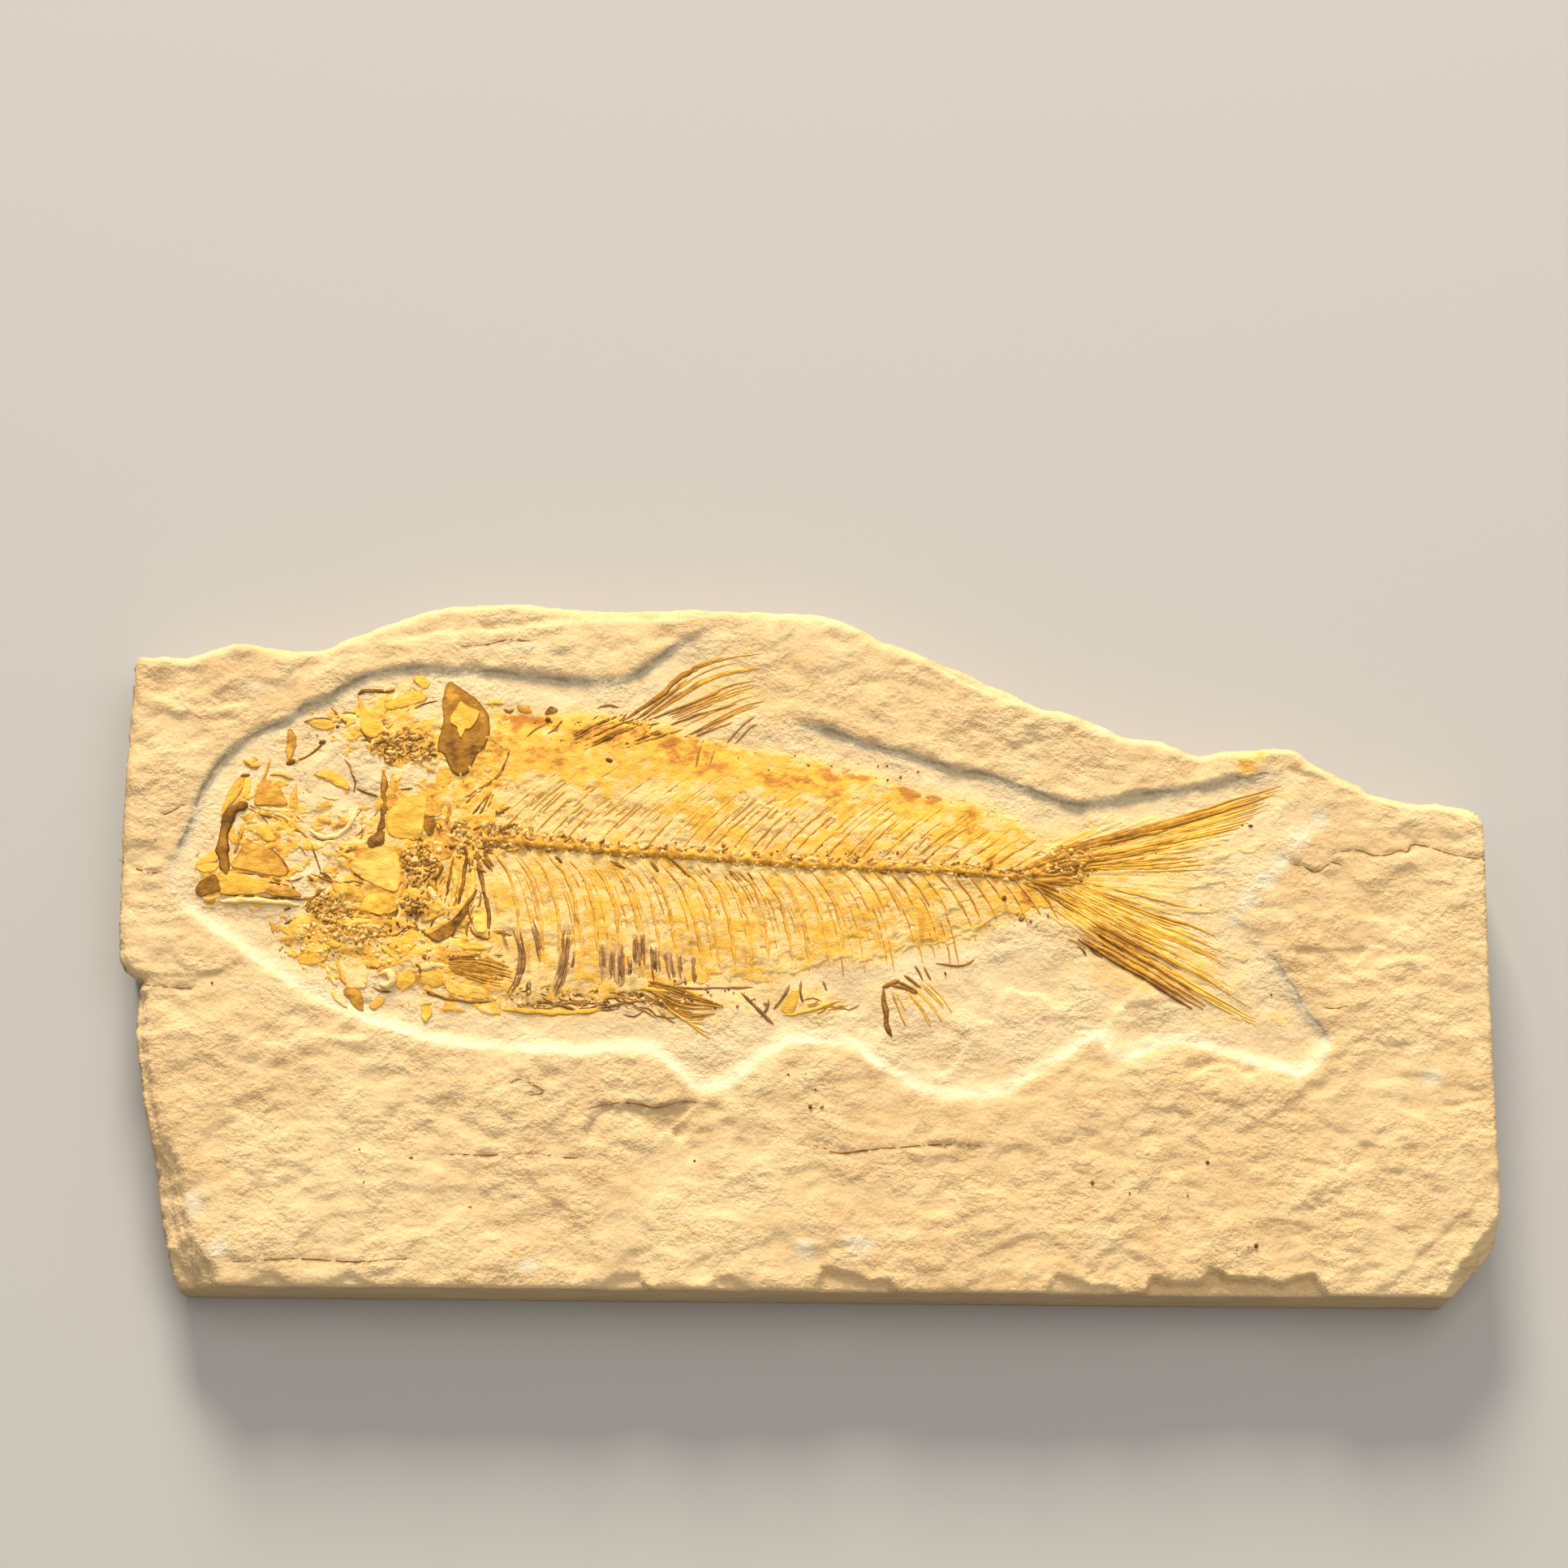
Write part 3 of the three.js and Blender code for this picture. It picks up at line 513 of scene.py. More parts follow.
def bed_relief(x, y):
    """Relief of the scraped ground: low and fine, and crumbly under the head."""
    head = np.exp(-(((x + 45) / 13) ** 4) - ((y - 10) / 14) ** 4)
    fine = 0.1 * rough(x / 4.5, y / 3.2, 14, 2) + 0.07 * rough(x / 1.8, y / 1.4, 17, 2)
    crumbs = 0.14 * rough(x / 1.8, y / 1.5, 18, 2) + 0.08 * terraces(2 * rough(x / 2.5, y / 2, 19, 2), 0.3)
    return fine + head * crumbs


def stone(x, y):
    """Height of the stone above its back in mm, and the measures that its finish is painted from."""
    inset, upright = wall_measures(x, y)
    scraped = ease(-0.4, 0.8, inset) * ease(-0.1, 0.5, upright + ease(2, 7, inset))
    body, _ = depth_within(BODY, x, y)
    broken_gap = np.minimum(near_line(BROKEN_TOP, x, y)[0], near_line(BROKEN_LEFT[NOTCH:], x, y)[0])
    sawn_gap = np.minimum(near_line(SAWN_END, x, y)[0], near_line(SAWN_LOWER, x, y)[0])
    left_drop, left_broken = break_slope(x, y, LEFT_BREAK, LEFT_SLOPE)
    corner_drop, corner_broken = break_slope(x, y, CORNER_BREAK, CORNER_SLOPE)
    crack = crack_gap(x, y)
    ledges, torn = ledge_drop(x, y)
    rim_run = 1.5 + 0.8 * rough(x / 3, y / 3, 21, 2)
    height = FACE + (1 - scraped) * split_relief(x, y) + scraped * bed_relief(x, y)
    height -= bed_depth(x, y, inset, upright)
    height += BODY_SWELL * ease(0, 7, body)
    height -= ledges * (1 - 0.35 * scraped) + flake_drop(x, y)
    height -= CRACK_DEPTH * (1 - ease(0, CRACK_HALF_WIDTH, crack))
    height -= BROKEN_ROUNDING * (1 - ease(0, 1, broken_gap / rim_run)) ** 2
    height -= SAWN_ROUNDING * (1 - ease(0, 0.5, sawn_gap + 0.2 * noise(x, y, 23)))
    height -= left_drop + corner_drop
    measures = {
        "scraped": scraped,
        "inset": np.clip(inset, -3, 6),
        "upright": upright,
        "body": np.clip(body, -4, 4),
        "crack": np.minimum(crack, 2),
        "torn": torn,
        # upper marks the side of the bed's wall that faces away from the low light, where the finish paints
        # shade
        "upper": np.maximum(ease(2, 8, y), ease(42, 44.5, x) * ease(-11, -8.5, y)),
        "stain": stain_at(x, y),
        "broken": np.maximum(left_broken, corner_broken),
    }
    return np.clip(height, THINNEST, TOP), measures


# %% [markdown]
# ## The slab's mesh
#
# The face is one grid. Its four edges are the outline's four sides, and each inner point is the
# Coons blend of them: the two straight blends of opposite sides, less the blend of the four corners.

# %% Face grid
FACE_COLUMNS = 372
FACE_ROWS = 190


def coons(lower, upper, left, right):
    """Blend of four sides, each an array of places, into a grid of places, columns by rows."""
    u = np.linspace(0, 1, len(lower))[:, None, None]
    v = np.linspace(0, 1, len(left))[None, :, None]
    across = (1 - v) * lower[:, None] + v * upper[:, None]
    along = (1 - u) * left[None] + u * right[None]
    corners = (1 - u) * (1 - v) * lower[0] + u * (1 - v) * lower[-1]
    corners = corners + (1 - u) * v * upper[0] + u * v * upper[-1]
    return across + along - corners


def grid_edge(columns, rows):
    """Indices of a grid's edge points in order, anticlockwise from its first corner."""
    index = np.arange(columns * rows).reshape(columns, rows)
    return np.concatenate([index[:-1, 0], index[-1, :-1], index[:0:-1, -1], index[0, :0:-1]])


def grid_quads(columns, rows):
    """Four-sided faces between neighbouring columns and rows of a grid, facing up."""
    index = np.arange(columns * rows).reshape(columns, rows)
    return np.stack([index[:-1, :-1], index[1:, :-1], index[1:, 1:], index[:-1, 1:]], -1).reshape(-1, 4)


def skirt_faces(edge, start, rings):
    """Faces from a grid's edge through closed rings, each below or inside the last and all stored from
    the index start on, to the single point stored after them."""
    index = np.concatenate([[edge], start + np.arange(rings * len(edge)).reshape(rings, -1)])
    beside = np.roll(index, -1, axis=1)
    quads = np.stack([index[:-1], index[1:], beside[1:], beside[:-1]], -1).reshape(-1, 4)
    middle = np.full(len(edge), start + rings * len(edge))
    return quads, np.stack([index[-1], middle, beside[-1]], -1)


u = np.linspace(0, 1, FACE_COLUMNS)
v = np.linspace(0, 1, FACE_ROWS)
lower = side_at(SAWN_LOWER, u, 0)
upper = side_at(BROKEN_TOP, u, 0)
left = side_at(BROKEN_LEFT, v, 1)
right = side_at(SAWN_END, v, 1)
upper[1:-1] = ragged(upper, (0, -1), 0.35)[1:-1]
left[1:-1] = ragged(left, (1, 0), 0.4)[1:-1]
face_xy = coons(lower, upper, left, right)
face_z, measures = stone(face_xy[..., 0], face_xy[..., 1])
print("face height, mm:", face_z.min().round(2), "to", face_z.max().round(2))

# %% [markdown]
# ## Sides and back
#
# Each row of a side is the edge again, lower down and moved a little towards the slab's middle. On
# the broken sides the stone's thin layers stand out unevenly, so the move is noise that changes in
# steps with height. The back is closed by smaller and smaller copies of the edge.

# %% Sides, back and the slab object
SIDE_ROWS = 14
BACK_RINGS = 12
LAYER = 0.75
# How many points of the edge the change from sawn to broken takes on each side of a corner.
BLEND = 4


def build_slab():
    """Points, faces and measures of the whole stone: grid, side rows, back rings and centre."""
    face = np.concatenate([face_xy, face_z[..., None]], -1).reshape(-1, 3)
    edge = grid_edge(FACE_COLUMNS, FACE_ROWS)
    rim = face[edge]
    count = len(edge)
    ring_number = np.arange(count)
    inward = -(np.roll(rim, -1, 0) - np.roll(rim, 1, 0))[:, 1::-1] * [1, -1]
    inward /= np.linalg.norm(inward, axis=1)[:, None]
    is_broken = (ring_number > FACE_COLUMNS + FACE_ROWS - 2).astype(float)
    share = np.ones(2 * BLEND + 1) / (2 * BLEND + 1)
    is_broken = np.convolve(np.pad(is_broken, BLEND, mode="wrap"), share, "valid")
    sides = []
    for k in range(1, SIDE_ROWS + 1):
        share = k / SIDE_ROWS
        z = rim[:, 2] * (1 - share)
        layer = np.floor(z / LAYER + 0.3 * noise(ring_number / 40, z * 0, 81))
        push = 0.28 * (1 + noise(ring_number / 6 + 3.7 * layer, layer * 7.3, 82))
        push += 0.3 * (1 + noise(ring_number / 25 + 1.3 * layer, layer * 3.1, 83))
        bulge = 0.5 * share * (1 - share)
        move = is_broken * (push * ease(0, 0.12, share) - bulge) + (1 - is_broken) * 0.03 * (k > 1)
        sides.append(np.column_stack([rim[:, :2] + inward * np.maximum(move, 0)[:, None], z]))
    base = sides[-1][:, :2]
    centre = base.mean(0)
    back = []
    for k in range(1, BACK_RINGS):
        shrink = 1 - k / BACK_RINGS
        place = centre + (base - centre) * shrink
        hollow = 0.06 * (1 + rough(place[:, 0] / 6, place[:, 1] / 4, 91, 3)) * ease(0, 0.2, 1 - shrink)
        back.append(np.column_stack([place, hollow]))
    points = np.concatenate([face, *sides, *back, [[*centre, 0.05]]])
    quads, last = skirt_faces(edge, len(face), len(sides) + len(back))
    quads = np.concatenate([grid_quads(FACE_COLUMNS, FACE_ROWS), quads])
    hidden = np.full(len(points) - len(face), 1)
    far_off = {"inset": -3, "body": -4, "crack": 2}
    attributes = {
        label: np.append(values.ravel(), far_off.get(label, 0) * hidden) for label, values in measures.items()
    }
    # side marks the slab's sides, which the finish darkens with strata and painted shade.
    attributes["side"] = np.zeros(len(points))
    attributes["side"][len(face):len(face) + count * SIDE_ROWS] = np.tile(1 + is_broken, SIDE_ROWS)
    return points, quads, last, attributes


# %% [markdown]
# ## Shader arithmetic
#
# A finish is easier to read as a sum than as a web of nodes. `Value` wraps a number that varies over
# the surface, so that `1 - mask` or `grain * 0.3` adds the Math nodes by itself.

# %% Value
class Value:
    """A number or colour that varies over a surface. Arithmetic on it adds Math nodes."""

    def __init__(self, finish, socket):
        self.finish = finish
        self.socket = socket

    def maths(self, operation, *others):
        node = self.finish.node("ShaderNodeMath", {"operation": operation}, [self, *others])
        return Value(self.finish, node.outputs[0])

    def __add__(self, other):
        return self.maths("ADD", other)

    def __sub__(self, other):
        return self.maths("SUBTRACT", other)

    def __rsub__(self, other):
        return self.maths("MULTIPLY_ADD", -1, other)

    def __mul__(self, other):
        return self.maths("MULTIPLY", other)

    __radd__ = __add__
    __rmul__ = __mul__

    def ease(self, low, high):
        """0 below low, 1 above high, an S curve between; low may be the larger."""
        node = self.finish.node(
            "ShaderNodeMapRange", {"interpolation_type": "SMOOTHSTEP"},
            {"Value": self, "From Min": low, "From Max": high},
        )
        return Value(self.finish, node.outputs[0])

# %% [markdown]
# ## One finish
#
# `Finish` holds one material. Its `node` method makes any node from its type, its settings and its
# inputs, and places are turned into millimetres, so that the size of noise is a size on the stone.

# %% Finish
class Finish:
    """One material: a Principled shader and the helpers that build what varies over the surface."""

    def __init__(self, name, **constants):
        self.material = bpy.data.materials.new(name)
        self.material.use_nodes = True
        self.tree = self.material.node_tree
        self.shader = self.tree.nodes["Principled BSDF"]
        for socket, value in constants.items():
            self.shader.inputs[socket.replace("_", " ")].default_value = value
        place = self.node("ShaderNodeTexCoord").outputs["Object"]
        in_mm = {"Vector": place, "Scale": (PER_METRE, PER_METRE, PER_METRE)}
        self.place = self.node("ShaderNodeMapping", {}, in_mm).outputs[0]

    def node(self, kind, settings=None, inputs=None):
        """A node of a kind, with its settings first, then its inputs by name or in order."""
        made = self.tree.nodes.new(kind)
        for name, value in (settings or {}).items():
            setattr(made, name, value)
        pairs = inputs.items() if isinstance(inputs, dict) else enumerate(inputs or [])
        for key, value in pairs:
            value = value.socket if isinstance(value, Value) else value
            if isinstance(value, bpy.types.NodeSocket):
                self.tree.links.new(value, made.inputs[key])
            else:
                made.inputs[key].default_value = value
        return made

    def attribute(self, name):
        """A number stored on the mesh's points."""
        return Value(self, self.node("ShaderNodeAttribute", {"attribute_name": name}).outputs["Fac"])

    def noise(self, size, detail=3, stretch=(1, 1, 1), turn=0, roughness=0.55):
        """Noise with features of a size in mm, stretched along its own axes and turned about Z."""
        scale = tuple(1 / (size * s) for s in stretch)
        turned = {"Vector": self.place, "Rotation": (0, 0, turn), "Scale": scale}
        place = self.node("ShaderNodeMapping", {}, turned).outputs[0]
        inputs = {"Vector": place, "Scale": 1, "Detail": detail, "Roughness": roughness}
        return Value(self, self.node("ShaderNodeTexNoise", {}, inputs).outputs["Fac"])

    def mix(self, share, first, second):
        """A colour from first to second by a share from 0 to 1."""
        colours = [(*c, 1) if isinstance(c, tuple) else c for c in (first, second)]
        node = self.node("ShaderNodeMix", {"data_type": "RGBA"}, {0: share, 6: colours[0], 7: colours[1]})
        return Value(self, node.outputs[2])

    def relief(self, height):
        """A bump from a height in mm."""
        bump = self.node("ShaderNodeBump", {}, {"Strength": 1, "Distance": 1 / PER_METRE, "Height": height})
        self.link("Normal", Value(self, bump.outputs[0]))

    def link(self, socket, value):
        """Feeds one of the shader's inputs."""
        self.tree.links.new(value.socket, self.shader.inputs[socket])


# %% [markdown]
# ## Limestone
#
# Fine-grained and dull, pale tan with warmer patches. The scraped ground is paler and greyer, the
# bottom of the cracks brown, and fresh breaks grey with small bright crystals. The upper wall of the
# bed faces away from the low light and is painted dark grey, crushed stone and painted shade, with a
# painted shade line along its top; the lower one faces the light and is painted powdery white with a
# brighter line, powder and painted highlight. The torn edges of the ledges are painted pale in the same
# way, powder and painted highlight, and the slab's sides are darkened brown, strata and painted shade.
# A yellow stain spreads from the fish's body into the stone. The colours are mixed by the measures
# stored on the mesh, each disturbed by noise so that no edge is clean.

# %% Limestone material
TAN = (0.70, 0.50, 0.255)
WARM_TAN = (0.60, 0.38, 0.165)
PALE = (0.74, 0.56, 0.32)
GREY = (0.50, 0.42, 0.28)
# Powder is partly the scraped stone's own colour and partly painted highlight, on the lower wall and the torn
# edges.
POWDER_AND_HIGHLIGHT = (0.78, 0.65, 0.43)
# Dark brown of the cracks' bottoms and of the painted shade line on the upper wall.
DARK_LINE_BROWN = (0.20, 0.13, 0.06)
# The sides' colour: their strata's brown and painted shade.
SIDE_STRATA_AND_SHADE = (0.34, 0.26, 0.15)
BODY_YELLOW = (0.80, 0.48, 0.12)
ORANGE = (0.76, 0.33, 0.03)
# Chalk: the brighter line in the lower wall, partly the stone's colour and partly painted highlight.
CHALK_AND_HIGHLIGHT = (0.84, 0.75, 0.54)
BRUISE = (0.68, 0.62, 0.47)
CRYSTAL = (0.95, 0.85, 0.62)


def limestone():
    """The stone's material."""
    finish = Finish("limestone", Roughness=0.88, Specular_IOR_Level=0.25)
    patches = finish.noise(16, 3)
    mottle = finish.noise(2.2, 4, (1.6, 0.8, 1), 0.16)
    grain = finish.noise(0.28, 3)
    scraped, inset, upright, body = map(finish.attribute, ("scraped", "inset", "upright", "body"))
    colour = finish.mix((patches * 0.7 + mottle * 0.6).ease(0.45, 0.9), TAN, WARM_TAN)
    colour = finish.mix(scraped * mottle.ease(0.25, 0.6) * 0.75, colour, PALE)
    is_upper = finish.attribute("upper")
    wobble = (mottle - 0.5) * 1.6
    line = inset + wobble * 0.6
    standing = upright.ease(0.3, 0.8)
    # The upper wall faces away from the low light: painted dark grey here, partly crushed stone and partly
    # painted shade.
    dull = line.ease(-0.5, -0.1) * line.ease(1.1, 0.5) * standing * is_upper
    colour = finish.mix(dull * (grain.ease(0.65, 0.5) * 0.6 + 0.3), colour, GREY)
    # A thin dark brown line along the top of the upper wall: painted shade.
    painted_shade_line = (line - 0.05).maths("ABSOLUTE").ease(0.25, 0.08) * standing * is_upper
    colour = finish.mix(painted_shade_line * mottle.ease(0.42, 0.55) * 0.6, colour, DARK_LINE_BROWN)
    # The lower wall faces the low light: painted powdery white with a brighter chalky line, partly powdered
    # stone and partly painted highlight.
    powder_and_highlight = (inset + wobble).ease(-0.9, 0.1) * (inset + wobble).ease(1.6, 0.5) * standing * (1 - is_upper)
    chalk_and_highlight_line = (line - 0.1).maths("ABSOLUTE").ease(0.6, 0.1) * standing * (1 - is_upper)
    colour = finish.mix(powder_and_highlight * 0.5, colour, POWDER_AND_HIGHLIGHT)
    colour = finish.mix(chalk_and_highlight_line * mottle.ease(0.35, 0.65) * 0.6, colour, CHALK_AND_HIGHLIGHT)
    # The torn edges of the ledges painted pale: partly powder, partly painted highlight.
    torn = (finish.attribute("torn") + (mottle - 0.5) * 1.6).ease(0.55, 1.0)
    colour = finish.mix(torn * 0.4, colour, POWDER_AND_HIGHLIGHT)
    # The slab's sides darkened brown: strata, and painted shade over the whole side.
    side = finish.attribute("side").ease(0.3, 0.9)
    strata = finish.noise(0.4, 3, (14, 14, 1))
    colour = finish.mix(side * (strata.ease(0.4, 0.65) * 0.3 + 0.25), colour, SIDE_STRATA_AND_SHADE)
    stain = (body + (mottle - 0.5) * 2.4).ease(-0.6, 0.9)
    colour = finish.mix(stain * 0.75, colour, BODY_YELLOW)
    blotch = finish.noise(1.1, 4, (1.3, 0.9, 1), 0.3)
    stained = (finish.attribute("stain") + (blotch - 0.5) * 1.4).ease(0.05, 0.85)
    colour = finish.mix(stained * 0.8, colour, BODY_YELLOW)
    colour = finish.mix((finish.attribute("stain") + (blotch - 0.5) * 2).ease(1.0, 1.8) * 0.8, colour, ORANGE)
    bruise = (finish.attribute("stain") + (blotch - 0.5) * 0.9).ease(-0.2, -0.75)
    colour = finish.mix(bruise * 0.6, colour, BRUISE)
    broken = (finish.attribute("broken") + (grain - 0.5) * 0.5).ease(0.3, 0.8)
    colour = finish.mix(broken * 0.1, colour, GREY)
    crack = (finish.attribute("crack") + (grain - 0.5) * 0.3).ease(0.5, 0.1)
    colour = finish.mix(crack * 0.3, colour, DARK_LINE_BROWN)
    finish.link("Base Color", finish.mix(grain.ease(0.3, 0.75) * 0.16, colour, CRYSTAL))
    pits = finish.noise(0.5, 3, roughness=0.6)
    chips = finish.noise(1.5, 3, (1.2, 1, 1), 0.16)
    uneven = finish.noise(6, 2).ease(0.35, 0.65)
    finish.relief(pits * (uneven * 0.12 + 0.12) + chips * (uneven * 0.3 + 0.12) + strata * side * 0.2)
    return finish.material


make_piece("limestone", *build_slab(), limestone(), "limestone", "limestone_slab")

# %% [markdown]
# ## The ground under the bones
#
# Bones lie on the bed, so the stone's height is needed at many thousands of places. It is worked out
# once on a square grid, and a bone reads it off by blending the four nearest values.

# %% Ground lookup
GROUND_STEP = 0.25
ground_x = np.arange(-70, 70, GROUND_STEP)
ground_y = np.arange(-35, 36, GROUND_STEP)
ground_z = stone(*np.meshgrid(ground_x, ground_y, indexing="ij"))[0]


def ground(x, y):
    """Height of the stone in mm at any places of the bed, blended between four known heights."""
    i = np.clip((x - ground_x[0]) / GROUND_STEP, 0, len(ground_x) - 1.001)
    j = np.clip((y - ground_y[0]) / GROUND_STEP, 0, len(ground_y) - 1.001)
    p, q = i.astype(int), j.astype(int)
    f, g = i - p, j - q
    near = (1 - g) * ground_z[p, q] + g * ground_z[p, q + 1]
    far = (1 - g) * ground_z[p + 1, q] + g * ground_z[p + 1, q + 1]
    return (1 - f) * near + f * far


# %% [markdown]
# ## Bone finish
#
# Fossil bone here runs from near black through brown and amber to bright yellow, by how much iron and
# carbon it took up. One finish serves for all: three colours in order, and a number stored on the
# mesh, the shade, that says how far along them a place is. Noise disturbs the shade, edges are darker,
# and the surface is nearly dull, with tiny painted glints: bright flecks that stand for sparkle.

# %% Bone materials
# Colour of the painted glints on bone.
PAINTED_GLINT = (0.9, 0.78, 0.52)


def bone(name, deep, middle, bright, gloss):
    """A bone material from its darkest, middle and brightest colours and its roughness."""
    finish = Finish(name, Roughness=gloss, Specular_IOR_Level=0.16)
    cloud = finish.noise(1.3, 3)
    fleck = finish.noise(0.22, 2)
    fibre = finish.noise(0.6, 4, (1.8, 0.8, 1), 0.9, 0.65)
    edge = (finish.attribute("edge") + (cloud - 0.5) * 0.9).ease(0.55, 1.05)
    shade = finish.attribute("shade") + (cloud - 0.5) * 1.5 + (fibre - 0.5) * 0.7
    shade = shade + (fleck - 0.5) * 0.3 - edge * 0.58
    colour = finish.mix(shade.ease(0.0, 0.5), deep, middle)
    colour = finish.mix(shade.ease(0.5, 1.0), colour, bright)
    # Tiny bright flecks over the bone: painted glints.
    finish.link("Base Color", finish.mix(fleck.ease(0.7, 0.76) * 0.25, colour, PAINTED_GLINT))
    finish.relief(cloud * 0.16 + fibre * 0.1 + fleck * 0.04)
    return finish.material


BONES = {
    "dark": bone("dark_bone", (0.15, 0.062, 0.008), (0.36, 0.16, 0.018), (0.62, 0.31, 0.04), 0.7),
    "purple": bone("purple_brown_bone", (0.18, 0.085, 0.03), (0.38, 0.19, 0.07), (0.64, 0.38, 0.14), 0.75),
    "amber": bone("amber_bone", (0.22, 0.10, 0.02), (0.56, 0.26, 0.035), (0.80, 0.43, 0.06), 0.7),
    "yellow": bone("yellow_bone", (0.42, 0.19, 0.025), (0.80, 0.42, 0.045), (0.84, 0.54, 0.12), 0.7),
    "rib": bone("rib_bone", (0.26, 0.12, 0.02), (0.60, 0.29, 0.038), (0.82, 0.47, 0.08), 0.7),
    "rubble": bone("crushed_bone", (0.17, 0.07, 0.012), (0.64, 0.34, 0.07), (0.82, 0.55, 0.19), 0.75),
    "pale": bone("pale_bone", (0.46, 0.24, 0.06), (0.78, 0.46, 0.12), (0.82, 0.60, 0.26), 0.8),
}
SLOTS = {"dark": "dark_bone", "purple": "dark_bone", "amber": "amber_bone", "yellow": "yellow_bone",
         "pale": "yellow_bone", "rib": "yellow_bone", "rubble": "amber_bone"}


# %% [markdown]
# ## Rods
#
# Nearly every bone of the fish is either a rod or a thin plate, and both give points, faces, a shade
# and a nearness to the edge. A rod follows a curve: its rings are half an ellipse above the stone and
# dip under it below, it swells and shrinks a little, and a point closes each end.

# %% Rod
def tube_faces(rings, around, first, last):
    """Faces of a tube: four-sided between neighbouring rings, and at its two ends a fan of three-sided
    ones to a first and a last point, given by their indices."""
    index = np.arange(rings * around).reshape(rings, around)
    beside = np.roll(index, -1, axis=1)
    quads = np.stack([index[:-1], beside[:-1], beside[1:], index[1:]], -1).reshape(-1, 4)
    start = np.stack([beside[0], index[0], np.full(around, first)], -1)
    end = np.stack([index[-1], beside[-1], np.full(around, last)], -1)
    return quads, np.concatenate([start, end])


def rod(width, shade, line, height=None, around=8, spacing=0.4, blunt=0.2):
    """A rod along a curve. The shade may be one number or one for each end. Height is a share of the
    width, less for a wide rod. The half width is w/2 times an ease towards each end times 1 + noise."""
    line = np.asarray(line, float)
    height = height or (0.3 if width < 0.45 else 0.19)
    length = np.hypot(*np.diff(line, axis=0).T).sum()
    count = int(np.clip(length / spacing, 5, 70))
    seed = int(1000 * abs(line[0, 0]) + 77 * abs(line[0, 1]))
    t = np.linspace(0, 1, count)
    wander = 0.3 * width * noise(t[:, None] * length / 1.3, np.array([[0.5, 5.5]]), seed)
    path = smooth_line(line, count) + wander
    way = np.gradient(path, axis=0)
    way /= np.linalg.norm(way, axis=1)[:, None] + 1e-9
    across = np.stack([-way[:, 1], way[:, 0]], -1)
    swell = 0.25 + 0.75 * ease(0, blunt, np.minimum(t, 1 - t))
    swell *= 1 + 0.33 * noise(t * length / 0.9, t * 0 + 0.5, seed + 1)
    turn = 2 * np.pi * (np.arange(around) + 0.5) / around
    cos, sin = np.cos(turn), np.sin(turn)
    xy = path[:, None] + (width / 2 * swell)[:, None, None] * cos[None, :, None] * across[:, None]
    rise = np.where(sin > 0, width * height * swell[:, None] * sin, 0.3 * sin)
    z = ground(*path.T)[:, None] + 0.02 + rise
    ends = np.column_stack([path[[0, -1]], ground(*path[[0, -1]].T)])
    points = np.concatenate([np.concatenate([xy, z[..., None]], -1).reshape(-1, 3), ends])
    faces = tube_faces(count, around, count * around, count * around + 1)
    shades = np.interp(t, [0, 1], np.broadcast_to(shade, 2))
    tone = np.append(np.repeat(shades, around), shades[[0, -1]])
    edge = np.append(np.tile(np.abs(cos), count), [1, 1])
    return points, *faces, tone, edge


# %% [markdown]
# ## Plates
#
# A plate fills a closed outline, as the flat bones of the head do. Its rim goes down into the stone,
# and the rings inside the rim are smaller copies of it that rise to a low crown.

# %% Plate
FLATNESS = 0.42
RINGS = np.array([1, 0.99, 0.965, 0.88, 0.74, 0.58, 0.4, 0.2])


def plate(thick, shade, outline, crown=0.05, count=48):
    """A plate inside an outline: lift = 0.42 thick + crown (1 - r^2) + noise at the share r of the way
    from the middle to the rim, and the rim itself sunk into the stone. The shade may be one number or
    two, for the plate's lower and upper end."""
    rim = smooth_line(outline, count, closed=True)
    if (rim[:, 0] * np.roll(rim[:, 1], -1) - rim[:, 1] * np.roll(rim[:, 0], -1)).sum() < 0:
        rim = rim[::-1]
    rim = rim + 0.09 * noise(rim[:, :1] / 0.5, rim[:, 1:] / 0.5 + [[0, 9]], 5)
    middle = rim.mean(0)
    xy = middle + (rim - middle) * RINGS[:, None, None]
    lift = FLATNESS * thick + crown * (1 - RINGS**2)
    lift[0] = -0.2
    z = ground(xy[..., 0], xy[..., 1]) + lift[:, None]
    z[1:] += 0.07 * rough(xy[1:, :, 0] / 0.9, xy[1:, :, 1] / 0.9, 6, 3)
    centre = ground(*middle)
    poles = [[*middle, centre + FLATNESS * thick + crown], [*middle, centre - 0.4]]
    points = np.concatenate([np.concatenate([xy, z[..., None]], -1).reshape(-1, 3), poles])
    size = len(RINGS) * count
    edge = np.append(np.repeat(RINGS**5, count), [0, 1])
    reach = [points[:, 1].min(), points[:, 1].max()]
    tone = np.interp(points[:, 1], reach, np.broadcast_to(shade, 2))
    return points, *tube_faces(len(RINGS), count, size + 1, size), tone, edge


# %% [markdown]
# ## Bones from a table
#
# A bone is a word, a few numbers and its places, so a whole fin can be read as a table. Shapes of one
# tone that belong together are joined into one mesh, which makes one piece.

# %% Reading and joining bones
def bones(text):
    """Rods and plates from a table. An entry is the word rod or plate, its width or thickness, its
    shade or the two shades of its ends parted by a slash, other settings by name, and its places."""
    shapes = []
    for entry in text.replace("rod", ";rod").replace("plate", ";plate").split(";")[1:]:
        kind, size, shade, *rest = entry.split()
        settings = dict(word.split("=") for word in rest if "=" in word)
        settings = {name: float(value) if "." in value else int(value) for name, value in settings.items()}
        places = rows(" ".join(word for word in rest if "," in word))
        make = rod if kind == "rod" else plate
        shapes.append(make(float(size), [float(tone) for tone in shade.split("/")], places, **settings))
    return shapes


